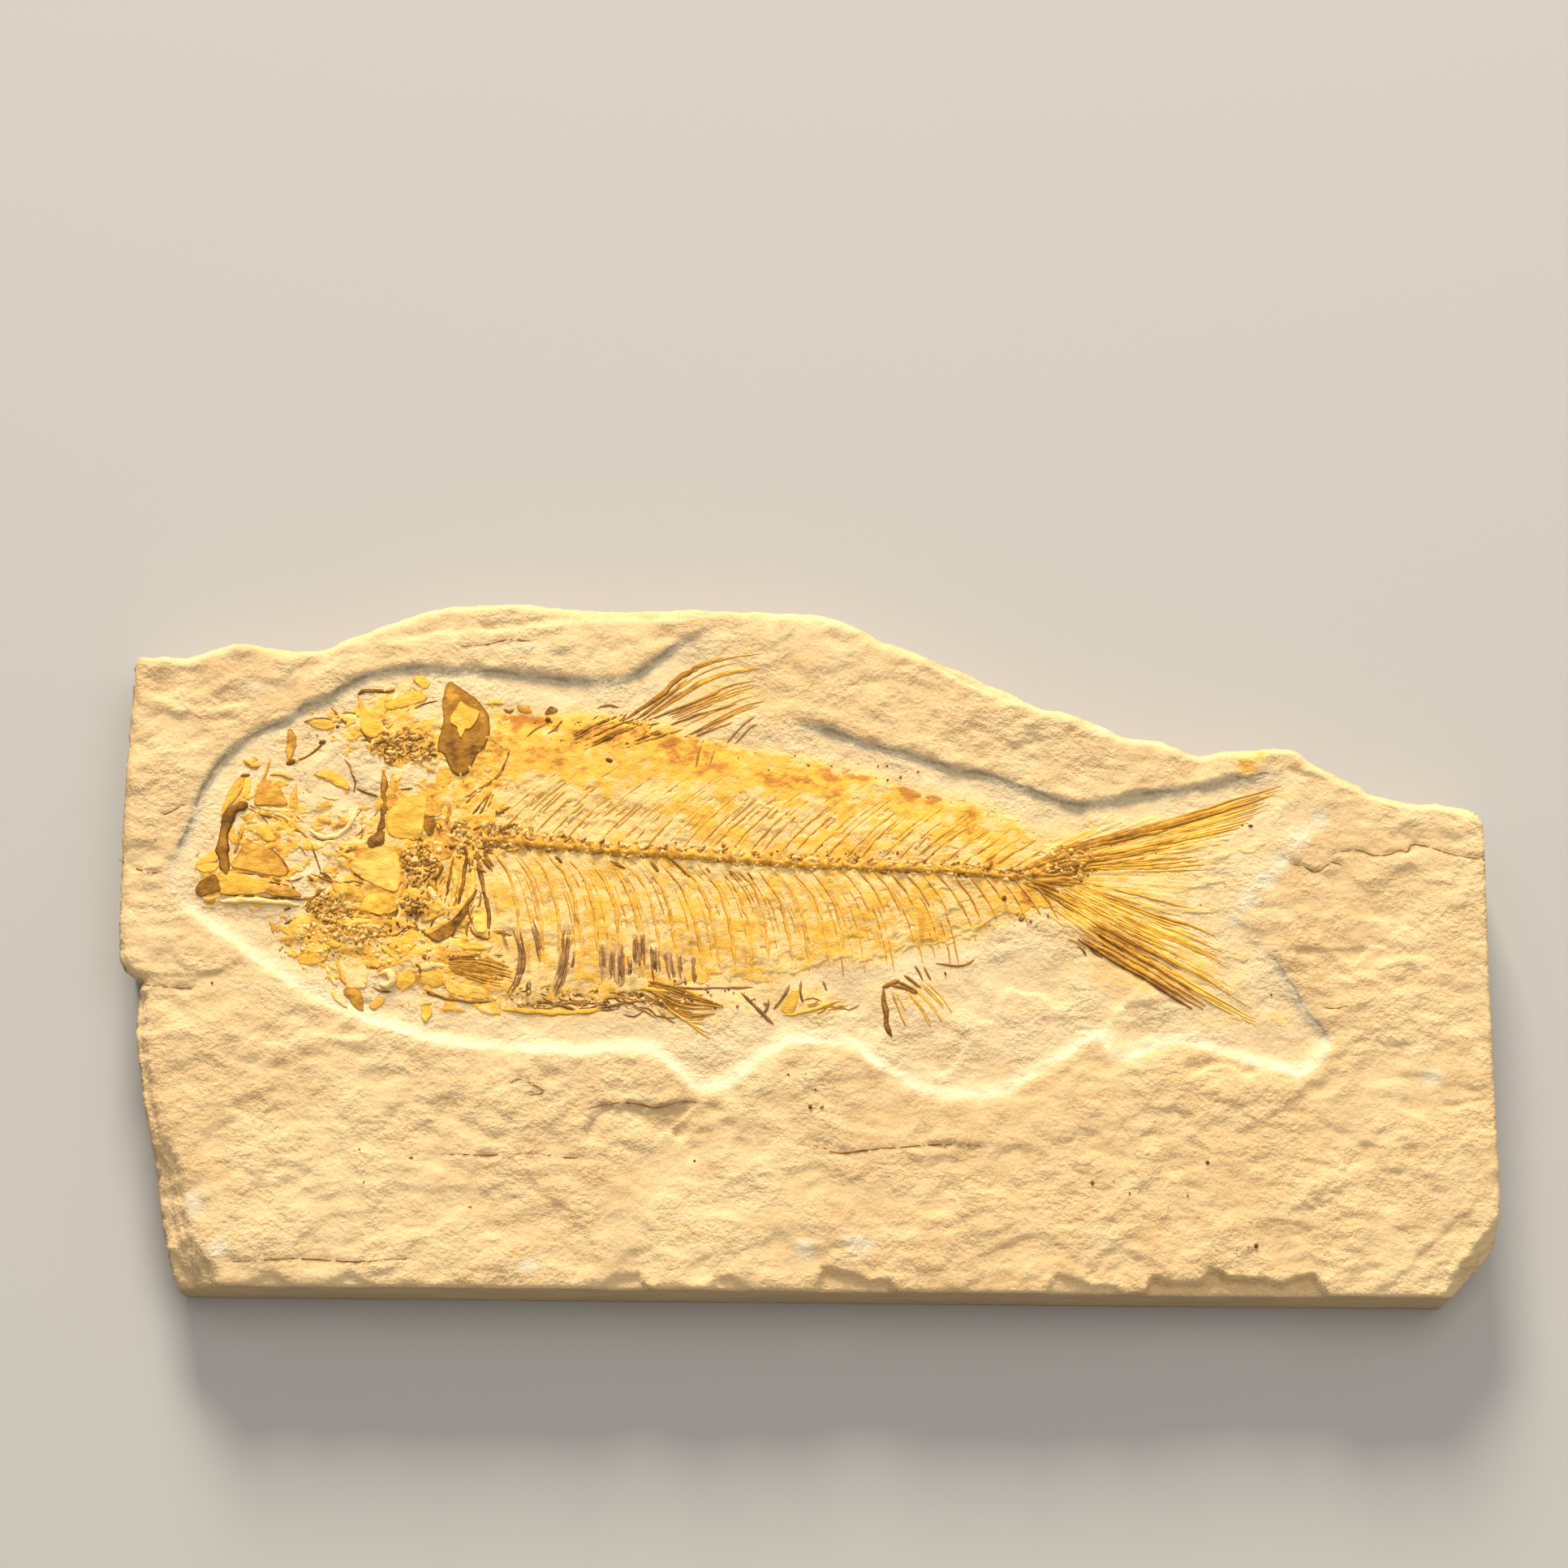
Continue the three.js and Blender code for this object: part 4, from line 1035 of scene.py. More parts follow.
def heap(name, tone, shapes, *nodes):
    """One piece from several shapes of the same tone."""
    starts = np.cumsum([0] + [len(shape[0]) for shape in shapes])
    points, quads, triangles, shade, edge = zip(*shapes)
    quads, triangles = (
        np.concatenate([some + start for some, start in zip(faces, starts)]) for faces in (quads, triangles)
    )
    attributes = {"shade": np.concatenate(shade), "edge": np.concatenate(edge)}
    points = np.concatenate(points)
    make_piece(name, points, quads, triangles, attributes, BONES[tone], SLOTS[tone], *nodes)


# %% [markdown]
# ## How the small bones run
#
# The spines above the backbone and the ribs below it all sweep back towards the tail, along the same
# two curves. The curves come first, since the film over the bones shows them as fine ridges.

# %% Curves of the small bones
SPINE = rows("""
-34,10.8 -32,10.6 -28,10.2 -24,9.9 -20,9.5 -15,9.2 -10,9 -5,8.6 0,8.2 5,8.1 10,7.9 15,7.8 18,7.5 20,7.3
22,7.1 24,7.6 25.5,8.2 29,8.6
""")


def spine_y(x):
    """Height across the slab of the backbone's middle line."""
    return np.interp(x, *SPINE.T)


def rib_shift(drop):
    """How far back a rib has swept when it is a drop in mm below the backbone."""
    return 4.7 * (1 - np.exp(-drop / 3.1)) + 0.06 * drop


def spine_shift(climb):
    """How far back a spine over the backbone has swept at a climb in mm above it."""
    return 0.62 * climb + 0.045 * climb**2


print("the backbone's middle line at x = 0, mm:", spine_y(0))

# %% [markdown]
# ## The body film
#
# Over the body lies a film thinner than paper, what is left of skin and scales. It is yellow with
# orange clouds, thick along the back and torn through to the stone in places.

# %% Film finish
FILM_STRAW = (0.78, 0.54, 0.22)
FILM_YELLOW = (0.82, 0.44, 0.065)
FILM_ORANGE = (0.52, 0.21, 0.035)
FILM_BROWN = (0.42, 0.19, 0.03)
FILM_RIM = (0.76, 0.56, 0.29)


def film_finish():
    """The film's material: pale where it is thin, yellow to orange where it is rich."""
    finish = Finish("body_film", Roughness=0.8, Specular_IOR_Level=0.15)
    cloud = finish.noise(1.2, 4, (1.3, 0.9, 1), 0.2, 0.6)
    fleck = finish.noise(0.25, 3)
    rich = finish.attribute("rich") + (cloud - 0.5) * 1.8 + (fleck - 0.5) * 0.4
    colour = finish.mix(rich.ease(0.15, 0.6), FILM_STRAW, FILM_YELLOW)
    colour = finish.mix(rich.ease(0.65, 1.15), colour, FILM_ORANGE)
    streak = (finish.attribute("streak") + (fleck - 0.5) * 0.3).ease(0.25, 0.7)
    colour = finish.mix(streak * 0.45, colour, FILM_BROWN)
    rim = (finish.attribute("rim") + (cloud - 0.5) * 1.6).ease(0.2, 0.9)
    colour = finish.mix(rim * 0.65, colour, FILM_RIM)
    finish.link("Base Color", colour)
    finish.relief(cloud * 0.12 + fleck * 0.09)
    return finish.material


# %% [markdown]
# ## Sheets
#
# A film is one sheet between two lines, and where it is missing it dips under the stone. Making the
# holes that way keeps the mesh a plain grid.

# %% Sheet
EDGE_DEPTH = 0.12
INNER_DEPTH = 0.5


def sheet(name, material, slot, x, low, high, count, measure, *nodes):
    """A thin skin between a low and a high line. measure(x, y) gives its lift above the stone in mm,
    below 0 where it is missing, and what it is painted from. It is closed inside the stone."""
    y = low[:, None] + (high - low)[:, None] * np.linspace(0, 1, count)
    x = x[:, None] + 0 * y
    lift, attributes = measure(x, y)
    columns = len(x)
    edge = grid_edge(columns, count)
    face = np.stack([x, y, ground(x, y) + lift], -1).reshape(-1, 3)
    face[edge, 2] = ground(*face[edge, :2].T) - EDGE_DEPTH
    rings = [face[edge] - [0, 0, 0.3]]
    middle = face[edge].mean(0)
    for share in (0.75, 0.5, 0.25):
        place = middle + (face[edge] - middle) * share
        place[:, 2] = ground(place[:, 0], place[:, 1]) - INNER_DEPTH
        rings.append(place)
    middle[2] = ground(middle[0], middle[1]) - INNER_DEPTH
    points = np.concatenate([face, *rings, [middle]])
    quads, last = skirt_faces(edge, len(face), len(rings))
    quads = np.concatenate([grid_quads(columns, count), quads])
    spare = np.zeros(len(points) - len(face))
    attributes = {label: np.append(values.ravel(), spare) for label, values in attributes.items()}
    make_piece(name, points, quads, last, attributes, material, slot, *nodes)


# %% [markdown]
# ## The films' thickness
#
# Three films differ in how they are torn: the body's by noise and less where it is rich, the head's
# and the tail's wherever the stone isn't stained. Each function gives the lift and what to paint.

# %% Films
# How far under the stone a skin lies where it is missing.
HIDDEN = 0.1
# Clouds in the film: x, y, reach in mm, richness added.
PATCHES = rows("""
5.7,18,1.1,0.7 6.8,18.5,0.8,0.6 2.5,17.6,2,0.35 13.5,15.5,0.9,0.7 10.5,16.8,0.8,0.6 17,12.3,1.5,0.5
4,10.2,0.8,0.4 14,11,1,0.4 -10.5,13,1.6,0.4 -30,23.6,1.6,0.5 -27.5,23.8,1.2,0.4 -4,17.5,0.9,0.5
-13.8,21,1.2,0.5 -32,21,1.5,0.4 -19,21,3,0.2 -25,19,3,0.15 -10,19.5,2.5,0.25 9,14.5,2.5,0.15
20,10,2.5,0.2 23,5,2,0.25 5,0,3,0.1 -6,-2,3,0.15 12,2,3,0.15 -22,2,3,0.1 -24,13,3.5,-0.45 -17,13.5,3,-0.4
-5,14.5,2.5,-0.3 -29,15,2.5,-0.35 -2,12,2.5,-0.2 -27,-2,2,-0.15
""")


def body_skin(x, y):
    """The film over the body: thickest along the back, with torn holes and the bones' ridges."""
    body, _ = depth_within(BODY, x, y)
    climb = y - spine_y(x)
    lean = np.where(climb > 0, x - spine_shift(np.abs(climb)), x - rib_shift(np.abs(climb)))
    streak = 0.7 * noise(lean / 0.55, climb / 4, 101) + 0.5 * noise(lean / 1.4, climb / 5, 102)
    streak *= ease(0, 0.8, np.abs(climb)) * (1 - 0.8 * ease(5, 8, climb))
    rich = 0.32 + 0.7 * rough(x / 4.5, y / 3, 103, 4, 0.6) + 0.3 * ease(4.5, 9, climb)
    for px, py, reach, more in PATCHES:
        rich = rich + more * np.exp(-(((x - px) / reach) ** 2) - ((y - py) / reach) ** 2)
    hole = 0.75 * rough(x / 1.9, y / 1.3, 104, 5, 0.65) - 0.45 * rich + 0.12 * ease(2.2, 0, body)
    cover = (1 - ease(0.02, 0.07, hole)) * ease(0.5, 0.9, body + 2.4 * rough(x / 2, y / 1.6, 105, 5, 0.65))
    cover *= ease(-34.5, -31, x + 2 * rough(x / 2, y / 2, 106, 3))
    thick = np.maximum(0.07 + 0.1 * rough(x / 1.2, y / 0.9, 107, 3, 0.6) + 0.06 * streak, 0.02)
    painted = {"rich": rich, "streak": streak, "rim": 0.9 - 0.9 * ease(0, 1.3, body)}
    return cover * (thick + HIDDEN) - HIDDEN, painted


def torn_skin(x, y):
    """Scraps of film around the head and the tail: where the stone is stained, torn by noise."""
    tear = stain_at(x, y) + 1.1 * rough(x / 1.8, y / 1.3, 121, 5, 0.6)
    cover = ease(0.28, 0.42, tear)
    rich = 0.6 + 1.0 * rough(x / 2.2, y / 1.6, 122, 4, 0.6)
    streak = 0.8 * noise(x / 1.6 + y / 0.9, y / 2 - x / 3, 123)
    thick = np.maximum(0.07 + 0.16 * rough(x / 0.9, y / 0.7, 124, 4, 0.65), 0.02)
    painted = {"rich": rich, "streak": streak, "rim": 0.7 - 0.9 * ease(0.28, 0.65, tear)}
    return cover * (thick + HIDDEN) - HIDDEN, painted


def tail_skin(x, y):
    """The membrane between the tail's rays, in ridges that spread from the tail's root."""
    angle = np.arctan2(y - 7.3, x - 20)
    far = np.hypot(y - 7.3, x - 20)
    ridge = noise(angle * 45, far / 9, 131)
    tear = stain_at(x, y) + 0.9 * rough(angle * 14, far / 5, 132, 4, 0.6)
    rich = 0.3 + 0.5 * noise(angle * 18, far / 5, 133) + 0.35 * ease(34, 24, x)
    painted = {"rich": rich, "streak": ridge * 0.7, "rim": 0.9 - 0.9 * ease(0.4, 1.1, tear)}
    return ease(0.3, 0.45, tear) * (0.15 + 0.07 * ridge) - HIDDEN, painted


film = film_finish()
HEAD_HIGH = rows("-62.5,9.5 -58,20 -54,23.5 -48,26 -40,28.5 -36,28.3 -30.5,26")
HEAD_LOW = rows("-62.5,3 -58,2 -50,-4 -42,-7.5 -30.5,-8")
TAIL_HIGH = rows("25,11 30,12.5 50.5,18.3")
TAIL_LOW = rows("25,3 30,-0.5 46,-9.6 50.5,-9.6")
# For each film: where it starts and ends in mm, its columns and rows, its lower and upper line.
FILMS = (
    ("body_film", -35, 29, 290, 140, BELLY_LINE, BACK_LINE, body_skin),
    ("head_film", -62.5, -30.5, 215, 215, HEAD_LOW, HEAD_HIGH, torn_skin),
    ("tail_film", 25, 50.5, 130, 170, TAIL_LOW, TAIL_HIGH, tail_skin),
)
for name, start, end, columns, count, low, high, skin in FILMS:
    across = np.linspace(start, end, columns)
    low_y, high_y = (np.interp(across, *line.T) for line in (low, high))
    sheet(name, film, "yellow_bone", across, low_y, high_y, count, skin)

# %% [markdown]
# ## Rubble
#
# Some places hold nothing but crushed bone, such as the braincase, the gill arches and the neck,
# where the first vertebrae broke up. Each is a small skin of lumps with dark gaps between them, and
# every lump takes its own height and its own tone.

# %% Rubble skins
RUBBLE_STEP = 0.13


def rubble_skin(patches, size, darkness):
    """A measure for sheet: lumps of a size in mm within ellipses (x, y, half width, half height)."""
    def measure(x, y):
        wide = np.max([1.2 - np.hypot((x - px) / rx, (y - py) / ry) for px, py, rx, ry in patches], axis=0)
        cover = ease(0.15, 0.3, wide + 0.5 * rough(x / 1.5, y / 1.5, 141, 3))
        bend_x, bend_y = x + 0.3 * noise(x, y, 142), y + 0.3 * noise(x, y, 143)
        gap, number = crackle(bend_x / size, bend_y / (0.75 * size), 144)
        small_gap, small_number = crackle(bend_x / (0.45 * size), bend_y / (0.4 * size), 147)
        lump = ease(0, 0.4, gap) * (0.3 + 0.7 * number) + 0.25 * ease(0, 0.4, small_gap) * small_number
        shade = 0.1 + 1.1 * ease(0.03, 0.22, gap) * (number * 0.75 + 0.4 * small_number + 0.15) - darkness
        return cover * (HIDDEN + 0.3 * lump) - HIDDEN, {"shade": shade, "edge": 0 * x}
    return measure


def rubble_sheet(name, patches, size, darkness, *nodes):
    """A skin of rubble over the box around its patches."""
    middles, halves = patches[:, :2], patches[:, 2:]
    low, high = (middles - 1.3 * halves).min(0), (middles + 1.3 * halves).max(0)
    x = np.linspace(low[0], high[0], int((high[0] - low[0]) / RUBBLE_STEP))
    count = int((high[1] - low[1]) / RUBBLE_STEP)
    sheet(name, BONES["rubble"], SLOTS["rubble"], x, low[1] + 0 * x, high[1] + 0 * x, count,
          rubble_skin(patches, size, darkness), *nodes)


# For each skin: its ellipses, the size of its lumps in mm, how dark it is, and its node.
RUBBLE = (
    ("crushed_braincase", "-41.3,20.6,3.2,1.9 -39.3,20.2,1.6,1.6", 0.6, 0.4, "braincase"),
    ("crushed_gill_arches", "-39.4,8,2,2.5 -39.8,3.5,1.5,0.9", 0.6, 0.55, "gill_arches"),
    ("crushed_neck", "-31,10.8,3.6,1.7 -27,10.2,3.5,1.1 -35.4,11,1.5,1.8", 0.65, 0.35),
    ("crushed_throat", "-48.5,3.3,2.4,1.4 -46,0.6,3.5,0.9", 0.5, 0.25),
    ("crushed_tail_root", "27,8.4,2.8,2", 0.6, 0.35),
)
for name, patches, size, darkness, *nodes in RUBBLE:
    rubble_sheet(name, rows(patches), size, darkness, *nodes)

# %% [markdown]
# ## The backbone
#
# Thirty crushed vertebrae in a row. Each is an hourglass on its side, so the row is one tube whose
# width dips in the middle of every vertebra and stands out at every joint. The lower half keeps a
# bright yellow ridge, and at the joints the upper edge is notched and dark.

# %% Backbone
VERTEBRAE = 30
BACKBONE_FROM = -33
BACKBONE_TO = 25.5
# How far it may stand over the slab's top.
PROUD = 0.18


def build_backbone():
    """The tube of vertebrae: half width w(t) (0.72 + 0.28 cos(pi n t)^2), and a height that dips on the
    upper side between the joints."""
    count, around = 420, 14
    t = np.linspace(0, 1, count)
    x = BACKBONE_FROM + (BACKBONE_TO - BACKBONE_FROM) * t
    joint = np.cos(np.pi * VERTEBRAE * t + 0.3 * noise(t * 15, t * 0, 111)) ** 2
    half = np.interp(x, [-33, -26, 0, 24, 25.5], [0.6, 0.7, 0.62, 0.45, 0.4]) * (0.72 + 0.28 * joint)
    half *= 1 + 0.18 * noise(t * 90, t * 0, 112)
    turn = 2 * np.pi * (np.arange(around) + 0.5) / around
    cos, sin = np.cos(turn), np.sin(turn)
    crushed = 1 + 0.3 * noise(t[:, None] * 110, turn[None] * 1.1, 113)
    y = spine_y(x)[:, None] + half[:, None] * cos * crushed
    crest = sin * (0.42 + 0.25 * joint[:, None]) * crushed * half[:, None] / 0.75
    high = np.where(sin > 0, crest, 0.35 * sin)
    high -= np.where((cos > 0.25) & (sin > 0), 0.22 * (1 - joint[:, None]), 0)
    z = np.minimum(ground(x, spine_y(x))[:, None] + high, TOP + PROUD)
    points = np.stack([x[:, None] + 0 * y, y, z], -1).reshape(-1, 3)
    ends = np.column_stack([x[[0, -1]], spine_y(x[[0, -1]]), ground(x[[0, -1]], spine_y(x[[0, -1]]))])
    faces = tube_faces(count, around, count * around, count * around + 1)
    gap, number = crackle(x[:, None] / 0.5 + 0 * cos, y / 0.4, 115)
    notch = np.clip(1.3 * cos, 0, 1) * (1 - joint)[:, None]
    shade = 0.62 + 0.45 * number - 0.4 * (1 - ease(0, 0.2, gap)) - 1.3 * notch
    edge = 0.85 * np.abs(cos)[None] * np.ones((count, 1))
    return np.concatenate([points, ends]), *faces, np.append(shade, [0.3, 0.3]), np.append(edge, [1, 1])


heap("backbone_row", "amber", [build_backbone()], "backbone")
patches = np.array([(x, spine_y(x), 2.6, 0.75) for x in range(-30, 22, 3)])
rubble_sheet("crushed_backbone", patches, 0.5, 0.25, "backbone")
chance = np.random.default_rng(9)
notches = []
for x in np.arange(-31.5, 23.5, 1.75) + 0.2 * chance.standard_normal(32):
    width, shade = 0.22 + 0.2 * chance.random(), 0.1 + 0.5 * chance.random()
    front = (x - 0.5 * chance.random() - 0.15, spine_y(x) + 0.45)
    middle = (x + 0.1, spine_y(x) + 0.55)
    rear = (x + 0.3 + 0.3 * chance.random(), spine_y(x) + 0.65 + 0.6 * chance.random())
    notches.append(rod(width, shade, [front, middle, rear], height=0.5))
heap("backbone_notches", "dark", notches, "backbone")

# %% [markdown]
# ## Spines and ribs
#
# Every vertebra carries a spine above, leaning back at about fifty degrees and flatter near the tail,
# and behind the ribs another below. The ribs leave the backbone at a slant and turn down to the belly.
# They all follow the same two curves as the ridges in the film, with a little scatter.

# %% Spines and ribs
def lean_line(x, side, start, length, scatter_by, lean=1.0):
    """A bone leaving the backbone at x: up for side +1, down for -1, along the film's own curves. Going
    up it ends short of the back."""
    if side > 0:
        tip = x + lean * spine_shift(start + length)
        length = max(0.6, min(length, np.interp(tip, *BACK_LINE.T) - spine_y(x) - start - 0.7))
    reach = np.linspace(start, start + length, 6)
    shift = spine_shift(reach) if side > 0 else rib_shift(reach)
    bend = scatter_by * (reach - start) / length
    return np.column_stack([x + lean * shift + bend, spine_y(x) + side * reach])


chance = np.random.default_rng(7)
upper_spines = []
for x in np.linspace(-31.5, 22.5, 33) + 0.25 * chance.standard_normal(33):
    length = (4.2 + 1.4 * chance.random()) * np.interp(x, [8, 22], [1, 0.6])
    line = lean_line(x, 1, 0.5, length, 0.5 * chance.random(), np.interp(x, [5, 22], [1, 1.8]))
    width, shade = (0.19, (0.75, 1.0)) if x < -12 else (0.23, (0.5, 0.9))
    upper_spines.append(rod(width, shade, line, height=0.5))
heap("upper_spines", "amber", upper_spines, "backbone")
fine_spines = []
for x in np.linspace(-32, 18, 58) + 0.3 * chance.standard_normal(58):
    shade, start = 0.5 + 0.5 * chance.random(), 1.5 + 2.5 * chance.random()
    line = lean_line(x, 1, start, 2.5 + 3 * chance.random(), 0.6 * chance.random())
    fine_spines.append(rod(0.13, shade, line, height=0.55))
heap("fine_spines", "amber", fine_spines)
lower_spines = [
    rod(0.24, (0.5, 0.8), lean_line(x, -1, 0.5, 3.4 + 1.6 * chance.random(), 0.3, 0.8), height=0.6)
    for x in np.linspace(3.2, 22.6, 13)
]
heap("lower_spines", "amber", lower_spines, "backbone")
RIBS = 18
RIB_FROM = -33.7
RIB_STEP = 1.95
for k in range(RIBS):
    x = RIB_FROM + RIB_STEP * k
    foot = np.interp(x, [-33.7, -22, -10, 0], [-2.4, -3.6, -3.2, -1.6]) + 0.6 * chance.standard_normal()
    line = lean_line(x, -1, 0.8, spine_y(x) - foot - 0.8, 0.3 * chance.standard_normal())
    heap(f"long_rib_{k + 1:02d}", "rib", [rod(0.34, (0.65, 0.95), line, height=0.4)], f"rib_{k + 1:02d}")
fine_ribs = []
for x in np.linspace(-33, 12, 46) + 0.3 * chance.standard_normal(46):
    shade = 0.45 + 0.5 * chance.random()
    line = lean_line(x, -1, 0.8 + 3 * chance.random(), 4 + 5 * chance.random(), 0.3)
    fine_ribs.append(rod(0.17, shade, line, height=0.45))
heap("fine_ribs", "amber", fine_ribs)

# %% [markdown]
# ## Fans
#
# A fin is a fan of thin jointed rods. Some lines across the fan are given, and each rod is a blend of
# the two lines nearest to it, with its own small bend, so that a handful of lines gives a whole fan.

# %% Fan
def fan(given, count, width, shade, seed, wear=0.3, height=0.3):
    """Rods blended between neighbouring lines of equal length; wear shortens some of them."""
    chance = np.random.default_rng(seed)
    given = np.array([smooth_line(line, 6) for line in given])
    rods = []
    for place in np.linspace(0, len(given) - 1, count):
        i = min(int(place), len(given) - 2)
        blend = np.clip(place - i + 0.15 * chance.standard_normal(), 0, 1)
        line = (1 - blend) * given[i] + blend * given[i + 1]
        start, end = 0.15 * wear * chance.random(), 1 - wear * chance.random() ** 2
        line = smooth_line(line, 40)[int(40 * start):int(40 * end) + 1:6]
        tone = np.clip(np.broadcast_to(shade, 2) + 0.18 * chance.standard_normal(), 0, 1)
        wide = width * (0.7 + 0.6 * chance.random())
        rods.append(rod(wide, tone, line, height=height, around=6, spacing=0.7))
    return rods


# %% [markdown]
# ## The tail
#
# The tail is two fans, brown at the root, then orange, then yellow at the worn ends. Darker bars run
# out along the rays from the root, where the last bones of the backbone fold together.

# %% Tail
TAIL_UPPER = lines("""
25,10 28,10.7 33,12.1 38,13.5 44,15.5 50.5,17.5; 25.5,9.4 29,10.2 34,11.4 39,12.7 44,14.2 49,15.9; 26,9
30,9.6 35,10.6 39,11.5 43,12.5 46.5,13.5; 26.5,8.6 31,8.9 35,9.4 38,9.9 41,10.4 43.5,10.9; 26.5,8 31,7.9
34,7.8 37,7.9 39.5,8 42,8
""")
TAIL_LOWER = lines("""
26.5,7.4 30,6.4 34,5.3 37,4.6 39.5,4 41.5,3.6; 26,6.8 30,4.6 34,2.6 37,1.3 40,0 43,-1.6; 25,6 29,3.2
33,0.8 37,-1.2 41,-3.4 46,-6.8; 24,5 28,2 32,-0.7 36,-3.2 41,-6.3 46.5,-9
""")
heap("tail_upper_rays", "yellow", fan(TAIL_UPPER, 32, 0.26, (0.2, 0.7), 201, 0.5), "tail_fin_upper")
heap("tail_lower_rays", "yellow", fan(TAIL_LOWER, 32, 0.26, (0.4, 0.85), 202, 0.5), "tail_fin_lower")
# Bars along the rays, each between two lines: a brown and a dark one below, a dark one above.
TAIL_BARS = lines("""
28,1 32,-1.2 35.5,-3.4 41,-6.7; 29,3 33,1 36.5,-1 42,-4.9; 28,0.6 32,-1.9 35.5,-4 40.4,-7.2; 29,2.6
33,0.5 36.5,-1.5 42,-5.2; 28,9.3 32,9.9 36,10.9 40,12; 28,8.2 32,8.6 35,9.2 38,9.8
""")
tail_brown = fan(TAIL_UPPER, 16, 0.17, (0.4, 0.8), 207, 0.7)
tail_brown += fan(TAIL_LOWER, 12, 0.16, (0.7, 0.95), 208, 0.7)
tail_brown += fan(TAIL_BARS[:2], 9, 0.34, (0.5, 0.4), 209, 0.5, 0.6)
heap("tail_brown_rays", "amber", tail_brown)
tail_dark = fan(TAIL_UPPER[:2], 9, 0.36, (0.3, 1.0), 203, 0.6, 0.4)
tail_dark += fan(TAIL_BARS[2:4], 9, 0.3, (0.6, 0.5), 204, 0.5, 0.6)
tail_dark += fan(TAIL_BARS[4:], 8, 0.26, (0.4, 0.9), 205, 0.5, 0.4)
heap("tail_dark_bars", "dark", tail_dark, "tail_fin_upper", "tail_fin_lower")
TAIL_ROOT = lines("""
22.5,7.9 26,9.6 28.5,11; 23.5,7.6 27,8.9 31,9.8; 23.5,7.2 27.5,7.9 31.5,8.4; 23,6.8 27,6.4 30.5,5.6;
22.5,6.4 25.5,4.9 28.5,2.6
""")
heap("tail_root_bones", "dark", fan(TAIL_ROOT, 15, 0.56, (0.5, 0.75), 206, 0.4, 0.35), "tail_root")

# %% [markdown]
# ## The back fin
#
# Ten stout dark rays stand out, so each is a rod of its own. The fine rays between them are a fan,
# and small dark bones under the skin carry the fin.

# %% Back fin
DORSAL = bones("""
rod 0.54 0.4/0.85 -19,23.5 -15.5,26 -12.8,28.5 -11,29.6 -8.3,30.5
rod 0.32 0.35/0.8 -17.8,23.5 -14,26.5 -12.3,28.2
rod 0.29 0.4/0.85 -17,23.5 -13.5,26.2 -10.1,28.3
rod 0.3 0.35/0.8 -16.3,23.6 -12,25.4 -8.8,26.8
rod 0.22 0.4/0.9 -14,24.2 -11,25.3 -8,26.2
rod 0.27 0.35/0.8 -14.2,22.9 -11,24.2 -7.1,25.4
rod 0.24 0.4/0.8 -12.5,21.8 -9.5,23.3 -6.8,24.5
rod 0.22 0.4/0.9 -11.8,21.6 -9.6,22.6 -7.5,23.4
rod 0.2 0.4/0.9 -8,21.2 -6.5,23 -5.2,24
rod 0.19 0.4/0.9 -7.2,21.1 -5.8,22.7 -4.9,23.3
""")
heap("dorsal_rays", "dark", DORSAL, "dorsal_fin")
DORSAL_FAN = lines("""
-18.5,23.6 -13,28.2 -8.5,30.3 -4,30.9; -16,24 -11,27.4 -7.5,28.8 -4.5,29.2; -14,23.6 -9.5,25.8 -6.5,27
-4,27.5; -11,22 -8.5,23.6 -6,24.9 -4,25.4
""")
heap("dorsal_fine_rays", "amber", fan(DORSAL_FAN, 20, 0.18, (0.6, 1.0), 211, 0.6), "dorsal_fin")
BASALS = bones("rod 0.3 0.3 -28.9,21.5 -27.5,22.6 -26.3,23.4 rod 0.28 0.3 -27,21.6 -25.8,22.5 -25.1,23.5")
BASAL_FAN = lines("""
-25,21.3 -22,23 -18.5,24.4; -23,20.6 -19.5,22.2 -17,23.4; -19,20.2 -15.5,21.6 -12.5,22.6
""")
BASALS += fan(BASAL_FAN, 16, 0.28, (0.35, 0.3), 212, 0.4)
BASALS += bones("rod 0.22 0.4 -10.5,21.5 -11,19.8 -11.3,18 rod 0.2 0.4 -9,21 -9.6,19.4 -9.9,18.2")
heap("dorsal_root_bones", "dark", BASALS)

# %% [markdown]
# ## The lower fins
#
# The breast fin and the belly fin are folded, so their fans are narrow and dense. The fin behind them
# has lost most of its rays.

# %% Lower fins
PECTORAL = lines("""
-36.2,-2.1 -33,-1.8 -29.5,-3; -36.4,-2.6 -33,-3 -28.9,-4; -36.3,-3.1 -33,-4.4 -28.5,-5.3
""")
heap("pectoral_rays", "dark", fan(PECTORAL, 26, 0.26, (0.45, 0.8), 221, 0.5, 0.5), "pectoral_fin")
PELVIC = lines("""
-16,-4.2 -12,-5.2 -7.9,-6.8; -15.8,-5 -12.2,-6.8 -7.9,-7; -15,-5.6 -12,-8.2 -9,-7.8; -14.5,-5.8 -12,-8.2
-9.2,-10.3
""")
heap("pelvic_rays", "dark", fan(PELVIC[:3], 15, 0.23, (0.6, 0.9), 222, 0.5, 0.5), "pelvic_fin")
heap("pelvic_fine_rays", "yellow", fan(PELVIC[2:], 7, 0.25, (0.4, 0.8), 223, 0.5), "pelvic_fin")
